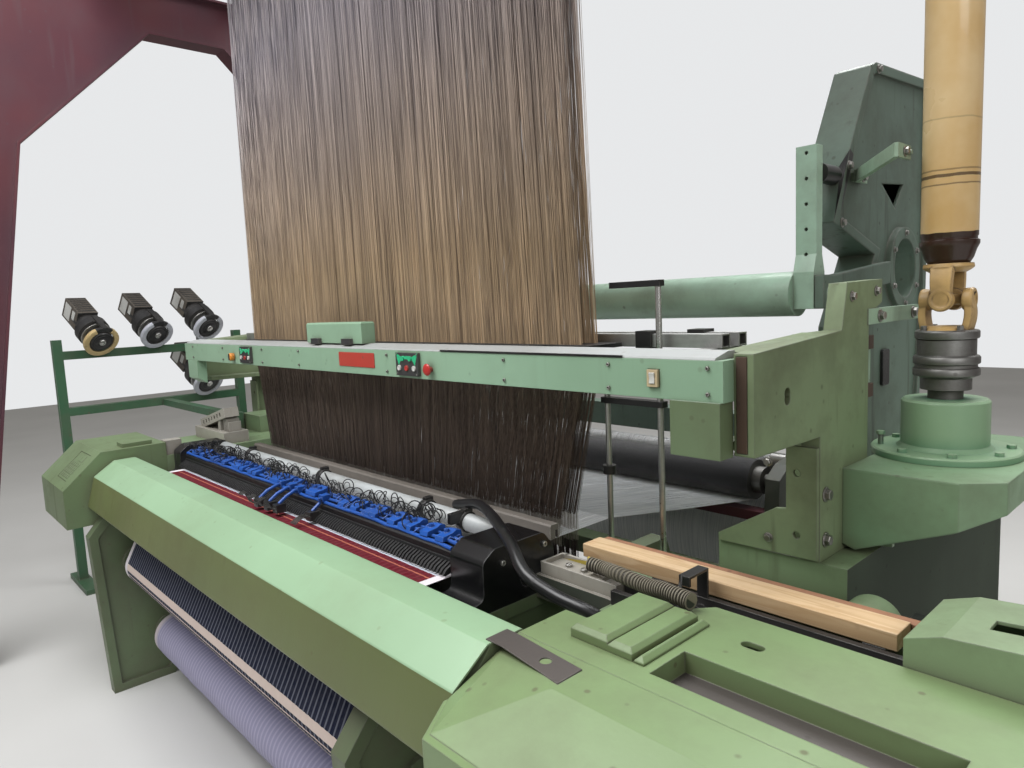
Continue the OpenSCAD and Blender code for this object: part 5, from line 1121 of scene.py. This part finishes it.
# Upper beam: a pressed box beam in sage enamel, with a pale sloped cover, a cream end cap,
# push-button boxes, a light switch and a small green box standing on two feet.
beam_enamel = painted("beam_enamel", (0.30, 0.47, 0.33), (0.24, 0.38, 0.26), dirt_and_shade=(0.12, 0.14, 0.09),
                      dust=0.25, streak=0.1, spots=0.3, rough=0.3)
cream_paint = painted("cream_paint", (0.66, 0.52, 0.26), (0.52, 0.38, 0.18), dust=0.4)
red_plate = painted("red_plate", (0.50, 0.05, 0.03), (0.40, 0.04, 0.03), dust=0.2)
cover_grey = painted("cover_grey", (0.40, 0.42, 0.42), (0.33, 0.35, 0.35), dirt_and_shade=(0.25, 0.24, 0.21),
                     dust=0.4, streak=0.0, rough=0.45)
# Painted shade: darker olive enamel on the beam's right end stands in for the shade that falls there.
beam_worn = painted("beam_worn", (0.17, 0.24, 0.135), (0.12, 0.165, 0.085), dirt_and_shade=(0.08, 0.075, 0.04),
                    dust=0.5, streak=0.4, spots=0.4, rough=0.36)
dress("upper_beam", beam_enamel, (beam_worn, (1200, -80, 1100), (1640, 100, 1372)),
      (cream_paint, (-1610, -40, 1380), (-1599.5, 41, 1467)))
dress("beam_cover", cover_grey, (black_paint, (610, -43, 1466.5), (1310, -37.5, 1473)))
box_finish = painted("box_black", (0.03, 0.032, 0.034), (0.02, 0.02, 0.022), dirt_and_shade=(0.12, 0.11, 0.10),
                     rough=0.45)
lamp_green, tree, shader = new_finish("green_lens", Roughness=0.12, Transmission_Weight=0.2, IOR=1.5)
spot = object_place(tree)
facet = put(tree, "ShaderNodeTexVoronoi", in_Vector=spot, in_Scale=500.0).outputs["Distance"]
wire(tree, shader, Base_Color=ramp(tree, facet, [(0.0, (0.02, 0.45, 0.18)), (0.6, (0.04, 0.60, 0.28))]))
dress("control_boxes", box_finish, (beam_enamel, (-266, -17, 1482), (142, 39, 1560)),
      (lamp_green, (-862, -56, 1434), (-738, -49.9, 1451)),
      (lamp_green, (394, -56, 1434), (518, -49.9, 1451)))
white_button = painted("button_white", (0.68, 0.68, 0.66), (0.58, 0.58, 0.55), dust=0.3, rough=0.35,
                       radius=0.0008)
red_button = painted("button_red", (0.52, 0.03, 0.025), (0.40, 0.02, 0.02), dust=0.2, rough=0.3,
                     radius=0.0008)
orange_knob = painted("knob_orange", (0.75, 0.28, 0.02), (0.60, 0.20, 0.02), dust=0.3, rough=0.4)
beige_switch = painted("switch_beige", (0.62, 0.50, 0.32), (0.52, 0.41, 0.25), dust=0.5, rough=0.4,
                       radius=0.0015)


button_z = 1412
left_box_x, right_box_x = -860, 396


def press_button(name, x, material):
    """A domed button cap on its stem, sunk in its collar."""
    button = Blank()
    button.turned("y", (x, 0, button_z), [(-45, 8.9), (-53, 8.9), (-54.4, 8.2), (-55, 6.4), (-54.2, 5),
                                          (-54.2, 0.01)], 24)
    button.piece(name + "_cap", name, material, soft=0, instead=[name])


for side, x0 in (("l", left_box_x), ("r", right_box_x)):
    for k in range(3):
        press_button("button_" + side + str(k + 1), x0 + 20 + 40 * k,
                     red_button if k == 1 else white_button)
mushroom = Blank()
mushroom.turned("y", (570, 0, button_z), [(-35, 8), (-51, 8), (-52, 14), (-54, 18), (-57, 18.4), (-60, 16),
                                          (-62, 11), (-62.5, 0.01)], 32)
mushroom.piece("stop_mushroom_cap", "stop_mushroom", red_button, soft=0, instead=["stop_mushroom"])
knob = Blank()
knob.turned("y", (-951, 0, button_z), [(-35, 9.8), (-41, 9.8), (-42, 17), (-57, 18), (-60.5, 16), (-62, 13),
                                       (-62, 0.01)], 32)
knob.finish = 1
knob.plate("y", -66, -61.5, [(-954, 1398), (-948, 1398), (-947, 1420), (-951, 1427), (-955, 1420)])
knob.piece("setting_knob_cap", "setting_knob", orange_knob, black_paint, soft=0.6, instead=["setting_knob"])
rocker = Blank()
rocker.plate("y", -47, -38, clipped((1372, 1405), (1400, 1443), 1))
rocker.finish = 1
rocker.plate("x", 1379, 1393, [(-47, 1412), (-49.5, 1413), (-47.8, 1424), (-50.5, 1436), (-47, 1437)])
rocker.piece("light_switch_rocker", "light_switch", beige_switch, white_button, soft=0.8,
             instead=["light_switch"])
plates = Blank()
plates.plate("y", -41.6, -39.5, clipped((18, 1404), (254, 1454), 2))
plates.piece("bare_red_plate", "machine", red_plate, soft=0.3)
beam_screws = [(x, -40, z, (0, -1, 0), 0.9) for x in (-1480, -1080, -640, -300, 330, 900, 1260, 1520)
               for z in (1396, 1450)]
beam_screws += [(x, -50, z, (0, -1, 0), 0.5) for x0 in (left_box_x, right_box_x) for x in (x0 + 6, x0 + 114)
                for z in (1393, 1455)]
fixings("beam_screws", "machine", cap_screw(), beam_screws, plain_steel)

# Arms, gearbox and turret: iron castings at the drive end carry the beam and the upright drive;
# a flange with eight bolts, one standing proud, closes the gearbox. Small brown, green and black
# fittings sit on the tall stand: a raised boss fills the gap under the foot of its slanting strap.
arm_green = painted("arm_green", (0.22, 0.29, 0.16), (0.16, 0.215, 0.115), dirt_and_shade=(0.07, 0.065, 0.035),
                    dust=0.6, streak=0.5, spots=0.5, coarse=0.8, radius=0.005, rough=0.45)
gear_green = painted("gear_green", (0.21, 0.34, 0.20), (0.17, 0.27, 0.155), dirt_and_shade=(0.09, 0.085, 0.045),
                     dust=0.5, streak=0.35, radius=0.006, rough=0.38)
turret_green = painted("turret_green", (0.265, 0.395, 0.245), (0.21, 0.325, 0.20), dirt_and_shade=(0.02, 0.16, 0.09),
                       dust=0.15, streak=0.1, spots=0.2, radius=0.003, rough=0.3)
strap_green = painted("strap_green", (0.36, 0.52, 0.38), (0.28, 0.42, 0.30), dust=0.5, radius=0.003)
dress("right_arm", arm_green, (strap_green, (1589, 580, 1505), (1605, 932, 1547)))
dress("left_arm", arm_green)
dress("gearbox", gear_green)
rust_brown = painted("rust_brown", (0.10, 0.055, 0.035), (0.06, 0.035, 0.025), bare=(0.25, 0.18, 0.12),
                     dirt_and_shade=(0.03, 0.02, 0.015), rough=0.6, dust=0.6)
drive_x, drive_y = 1730, 734
axis_at = (drive_x, drive_y, 0)
dress("turret", turret_green, (dull_steel, (drive_x - 150, drive_y - 70, 1183.5),
                               (drive_x - 125, drive_y - 40, 1206)))
arm_bolts = [(1478, 289, z, (0, -1, 0), 1.0) for z in (1190, 1000)]
arm_bolts += [(1600, y, z, (1, 0, 0), 1.5) for y in (330, 545) for z in (1010, 1120)]
arm_bolts += [(1600, y, z, (1, 0, 0), 1.1) for y, z in ((470, 1580), (620, 1590))]
arm_bolts += [(1603, y, 1526, (1, 0, 0), 1.4) for y in (640, 880)]
fixings("arm_bolts", "machine", hex_bolt(), arm_bolts, plain_steel)
fittings = Blank()
for z in (1425, 1270):
    fittings.block((1402, 1056, z - 22), (1418, 1100, z + 22))
fittings.finish = 1
fittings.block((1401, 950, 1919), (1414.5, 1010, 1946))
fittings.plate("x", 1402, 1409, [(1064, 1292), (1096, 1292), (1098, 1294), (1098, 1401), (1096, 1403),
                                 (1064, 1403)])
fittings.finish = 2
fittings.plate("x", 1402, 1412, clipped((1198, 1270), (1256, 1391), 6))
fittings.piece("column_fittings", "machine", rust_brown, strap_green, gloss_black, soft=1.5)
seam = Blank()
seam.plate("x", 1561, 1584, [(-1.5, 1273), (2, 1273), (2, 1471), (-1.5, 1471)])
seam.piece("arm_seam_strip", "machine", rust_brown, soft=0.5)

# Drive shaft: ground coupling discs on the turret, a universal joint, and a long cream tube with
# black rub bands and oil smears rising to a second joint at the head.
cream_tube, tree, shader = new_finish("cream_tube", Roughness=0.28, Coat_Weight=0.3)
spot = object_place(tree)
height = put(tree, "ShaderNodeSeparateXYZ", in_0=spot).outputs[2]
cloudy = noise(tree, spot, 7.0, 4.0)
coat = mixed(tree, mask(tree, cloudy, 0.35, 0.7), (0.74, 0.55, 0.30), (0.62, 0.40, 0.16))
ragged = maths(tree, "MULTIPLY_ADD", cloudy, 0.02, height)
level = put(tree, "ShaderNodeMapRange", in_Value=ragged, in_From_Min=1.6, in_From_Max=2.6).outputs[0]
bands = ramp(tree, level, [(0.0, (1, 1, 1)), (0.135, (0, 0, 0)), (0.247, (0.6, 0.6, 0.6)),
                           (0.253, (0, 0, 0)), (0.268, (0.8, 0.8, 0.8)),
                           (0.275, (0, 0, 0)), (0.284, (0.5, 0.5, 0.5)), (0.289, (0, 0, 0)),
                           (0.40, (0.25, 0.25, 0.25)), (0.404, (0, 0, 0))], sharp=True)
smear_at = put(tree, "ShaderNodeMapping", in_Vector=spot, in_Scale=(30, 30, 5), in_Rotation=(0.0, 0.3, 0.0))
smears = noise(tree, smear_at.outputs[0], 1.0, 3.0)
oil = maths(tree, "MAXIMUM", bands, mask(tree, smears, 0.68, 0.74))
wire(tree, shader, Base_Color=mixed(tree, oil, coat, (0.030, 0.012, 0.006)),
     Roughness=between(tree, cloudy, 0.2, 0.42))
worn_cream = painted("worn_cream", (0.62, 0.42, 0.17), (0.42, 0.25, 0.09), bare=(0.12, 0.08, 0.05),
                     dirt_and_shade=(0.03, 0.018, 0.01), dust=0.8, streak=0.5, spots=1.0, wear=1.0, radius=0.006,
                     rough=0.35)
shaft = Blank()
shaft.turned("z", axis_at, [(1265, 30), (1265, 40), (1330, 40), (1332, 52), (1333, 58), (1362, 58),
                            (1366, 66), (1369, 74), (1371, 75), (1385, 75), (1388, 73),
                            (1389, 69), (1397, 69), (1399, 74), (1401, 75), (1415, 75), (1419, 72),
                            (1421, 66), (1460, 66), (1462, 62), (1462, 0.01)], 48)
shaft.turned("z", axis_at, [(1462, 0.01), (1462, 70), (1466, 72), (1480, 72), (1484, 68), (1484, 0.01)], 48)
for x, y in circle((drive_x, drive_y), 58, 4, math.pi / 4):
    shaft.rod([(x, y, 1425), (x, y, 1496)], 8, 6)
shaft.turned("z", axis_at, [(3470, 0.01), (3470, 34), (3540, 34), (3541, 0.01)], 32)
shaft.piece("coupling_discs", "drive_shaft", dull_steel, soft=0.8, instead=["drive_shaft"])
joint = Blank()
for z, low, high in ((1560, 1472, 1650), (3380, 3288, 3470)):
    for lift, way in ((low, 1), (high, -1)):
        joint.turned("z", axis_at, [(lift, 0.01), (lift, 55), (lift + way * 10, 57), (lift + way * 16, 50),
                                    (lift + way * 22, 40), (lift + way * 22, 0.01)], 36)
        for s in (-1, 1):
            arm_line = []
            for k in range(9):
                t = k / 8
                out = 44 + 8 * math.sin(t * math.pi)
                arm_line.append((s * out, lift + way * (10 + t * abs(z - lift) * 1.02 - 2), 26 - 4 * t))
            rings = []
            for out, at, half in arm_line:
                pts = []
                for du, dv in ((-9, -half), (9, -half), (11, 0), (9, half), (-9, half), (-11, 0)):
                    u, v = out + du, dv
                    dx, dy = (u, v) if way > 0 else (-v, u)
                    pts.append((drive_x + dx, drive_y + dy, at))
                rings.append(pts)
            joint.skin(rings)
            boss = (drive_x + s * 34, drive_y, z) if way > 0 else (drive_x, drive_y + s * 34, z)
            boss_profile = ((2, 0.01), (2, 27), (20, 29), (26, 27), (26, 19), (23, 18), (23, 0.01))
            joint.turned("x" if way > 0 else "y", boss, [(s * along, r) for along, r in boss_profile], 28)
    for axis in "xy":
        joint.turned(axis, (drive_x, drive_y, z), [(-44, 0.01), (-44, 13), (44, 13), (44, 0.01)], 20)
joint.piece("universal_joints", "drive_shaft", worn_cream, soft=2)
pipe = Blank()
pipe.turned("z", axis_at, [(1644, 40), (1650, 46), (1664, 54), (1684, 60), (1690, 63), (1697, 66),
                           (1705, 66), (1708, 61), (1714, 61), (1717, 63), (3238, 63), (3262, 58),
                           (3284, 50), (3290, 40)], 64)
pipe.piece("cream_drive_tube", "drive_shaft", cream_tube, soft=0)

# Beam stands and swing tube: tall dark green castings with a recessed face, a window and a
# flanged bore; a pale green tube swings between them with an upright drilled lever at each end.
stand_green = painted("stand_green", (0.13, 0.19, 0.15), (0.09, 0.135, 0.11), dirt_and_shade=(0.05, 0.045, 0.03),
                      dust=0.55, streak=0.6, coarse=1.2, radius=0.008, rough=0.5)
tube_green = painted("tube_green", (0.40, 0.58, 0.46), (0.32, 0.48, 0.37), dust=0.6, streak=0.0,
                     radius=0.003, rough=0.3)
dress("beam_stands", stand_green, (strap_green, (1413.5, 610, 1912), (1662, 1024, 1953)),
      *[(black_paint, (min(s * 1359, s * 1417), 737, 1895), (max(s * 1359, s * 1417), 900, 1965))
        for s in (-1, 1)])
dress("swing_tube", tube_green)
stand_bolts = []
stand_bore, bolt_circle = (1358, 1660), 119
for side in (-1, 1):
    for y, z in circle(stand_bore, bolt_circle, 6, math.pi / 6):
        stand_bolts.append((side * 1422, y, z, (side, 0, 0), 0.9))
    for y, z in ((976, 1010), (1508, 1010), (1545, 1330), (1582, 1700), (1584, 2280), (1120, 2272),
                 (905, 1960), (860, 1792)):
        stand_bolts.append((side * 1414, y, z, (side, 0, 0), 1.2))
stand_bolts += [(1422, 990, 1932, (1, 0, 0), 1.3), (1648, 662, 1932, (1, 0, 0), 1.1)]
fixings("stand_bolts", "machine", hex_bolt(), stand_bolts, plain_steel)
dress("guard_rods", ground_steel, (black_paint, (1040, 170, 1316), (1260, 202, 1336)),
      (black_paint, (1085, 174, 1624), (1260, 200, 1644)),
      (black_paint, (1040, 160, 1118), (1090, 210, 1146)))

# Weft side: a square-tube stand in bottle green holds four yarn feeders, each a black drum with
# a pale ring and a bright flyer; the selector and its motor sit on the left housing.
bottle_green = painted("bottle_green", (0.045, 0.13, 0.065), (0.03, 0.09, 0.045), bare=(0.35, 0.36, 0.34),
                       dust=0.5, rough=0.45, wear=1.0, spots=1.0)
feeder_black = painted("feeder_black", (0.018, 0.018, 0.020), (0.010, 0.010, 0.012),
                       dirt_and_shade=(0.09, 0.085, 0.08), dust=0.6, rough=0.4)
pale_ring = painted("pale_ring", (0.58, 0.60, 0.66), (0.46, 0.48, 0.55), dust=0.3, rough=0.4)
dress("feeder_stand", bottle_green, (feeder_black, (-2900, -340, 1432), (-2430, 560, 1800)),
      (feeder_black, (-2900, 250, 1092), (-2430, 560, 1379)))
tilt = Matrix.Rotation(math.radians(13.5), 4, "Z") @ Matrix.Rotation(math.radians(125), 4, "Y")
tag_white = painted("tag_white", (0.62, 0.63, 0.62), (0.50, 0.50, 0.48), dust=0.6, radius=0.0008)
motor_brown = painted("motor_brown", (0.10, 0.085, 0.07), (0.06, 0.05, 0.042), dirt_and_shade=(0.16, 0.14, 0.11),
                      dust=0.8, rough=0.5)
for number, (y, z) in enumerate(((-218, 1478), (98, 1501), (420, 1527), (387, 1163)), 1):
    drum = Blank()
    for pin in circle((0, 0), 65.5, 14):
        drum.rod([(*pin, -52), (*pin, -4)], 2.4, 6)
    drum.turned("z", (0, 0, 0), [(7.5, 0.01), (7.5, 46), (10, 47), (12, 44), (12, 0.01)], 32)
    for k in range(7):
        drum.block((-78, -50, -358 + 22 * k), (-73, 50, -349 + 22 * k))
    drum.finish = 1
    rings = []
    for k in range(25):
        a = math.radians(-150 + 12.5 * k)
        hoop = ((71, -16), (100, -16), (101, 4), (96, 8), (76, 8), (71, 4))
        rings.append([(math.cos(a) * r, math.sin(a) * r, at) for r, at in hoop])
    drum.skin(rings)
    drum.finish = 2
    drum.turned("z", (0, 0, 0), [(12, 0.01), (12, 20), (17, 18), (20, 8), (20, 0.01)], 24)
    drum.finish = 3
    for low, high in (((-62, -350), (36, -280)), ((-56, -262), (2, -230))):
        drum.plate("y", -60.5, -57.5, clipped(low, high, 2))
    drum.finish = 4
    for inner in (-59, 57):
        drum.plate("y", inner, inner + 2, [(-73, -369), (49, -369), (49, -202), (-73, -202)])
    drum.plate("x", -75.5, -73, [(-57, -369), (57, -369), (57, -202), (-57, -202)])
    place = Matrix.Translation(Vector((-2520, y, z))) @ tilt
    bmesh.ops.transform(drum.shape, matrix=place, verts=drum.shape.verts)
    ring_paint = cream_paint if number == 1 else pale_ring
    drum.piece("feeder_fittings_" + str(number), "machine", feeder_black, ring_paint, ground_steel,
               tag_white, motor_brown, soft=1)
    flyer = Blank()
    flyer.turned("z", (0, 0, 0), [(-69, 15), (-69, 84), (-67, 88), (-62, 88), (-60, 84), (-60, 15)], 40)
    flyer.turned("z", (70, 0, 0), [(-69.5, 3), (-69.5, 7), (-59.5, 7), (-59.5, 3)], 14)
    bmesh.ops.transform(flyer.shape, matrix=place, verts=flyer.shape.verts)
    body = "feeder_flyer_" + str(number)
    flyer.piece(body + "_disc", body, ground_steel, soft=0.6, instead=[body])
dress("weft_selector", tan_steel, (side_enamel, (-1525, 195, 980), (-1295, 335, 1075)),
      (red_button, (-1365, 24, 1084), (-1195, 46, 1100)))

# Harness head: the ribbed casing over the harness, in grey-green, with louvres and a bevel box.
# It stands on the gantry's long beams, above the photo's edge, so its form is a plain guess.
head_enamel = painted("head_enamel", (0.22, 0.27, 0.24), (0.17, 0.21, 0.19), dust=0.5, streak=0.6)
dress("jacquard_head", head_enamel)

# Hoses: a plain black hose from the tube's end clip to a collar on the table's floor, and a ribbed
# vacuum hose from the slide box to the plank's bracket, where its end is bare.
rubber = painted("hose_rubber", (0.009, 0.009, 0.011), (0.005, 0.005, 0.006), bare=(0.05, 0.05, 0.05),
                 dirt_and_shade=(0.03, 0.03, 0.03), dust=0.15, streak=0.0, rough=0.3)
ribbed = painted("ribbed_hose", (0.26, 0.23, 0.17), (0.17, 0.15, 0.11), dirt_and_shade=(0.03, 0.028, 0.022), dust=0.5,
                 streak=0.0, rough=0.55)


def eased(points, rounds):
    """A smoother row of points through the given ones."""
    for _ in range(rounds):
        finer = []
        for i in range(len(points) - 1):
            a, b, c, d = (Vector(points[j]) for j in (max(i - 1, 0), i, i + 1, min(i + 2, len(points) - 1)))
            for t in (0, 0.25, 0.5, 0.75):
                square, cube = 2 * a - 5 * b + 4 * c - d, 3 * b - a - 3 * c + d
                finer.append(0.5 * (2 * b + (c - a) * t + square * t ** 2 + cube * t ** 3))
        points = finer + [Vector(points[-1])]
    return points


def hose(name, points, radius, material, ribs, stands_for):
    """A hose along its route; ribs above zero stand up at every other ring."""
    route = eased(points, 2)
    if ribs:
        fine = eased(route, 1)
        radii = [radius + (ribs if i % 12 < 6 else -3) for i in range(len(fine))]
    else:
        fine, radii = route, radius
    made = Blank()
    made.rod([tuple(p) for p in fine], radii, 20)
    if ribs:
        made.finish = 1
        made.rod([tuple(p) for p in route], radius, 20)
    thing = made.piece(name, "machine", material, rubber, soft=0, instead=stands_for)


collar_at = (1428, -280)
collar = Blank()
collar.turned("z", (*collar_at, 0), [(930.3, 13.5), (930.3, 20), (932, 22), (946, 22), (948, 20),
                                     (948, 13.5)], 24)
hose_collar = collar.piece("hose_collar", "machine", black_paint, soft=0.6)
black_route = [(700, -72.2, 1024), (830, -100, 1054), (972, -170, 1066), (1140, -262, 1058),
               (1240, -312, 1026), (1320, -310, 1000), (1400, -296, 984), (*collar_at, 965),
               (*collar_at, 948), (*collar_at, 930.3)]
hose("black_hose", black_route, 14, rubber, 0, ["hoses"])
ribbed_route = [(1220, -80, 974.3), (1270, -84, 976), (1340, -125, 995), (1420, -160, 1008),
                (1470, -178, 1016), (1510, -190, 1024), (1545, -198, 1026), (1580, -204, 1026)]
hose("ribbed_hose", ribbed_route, 13, ribbed, 4, [])
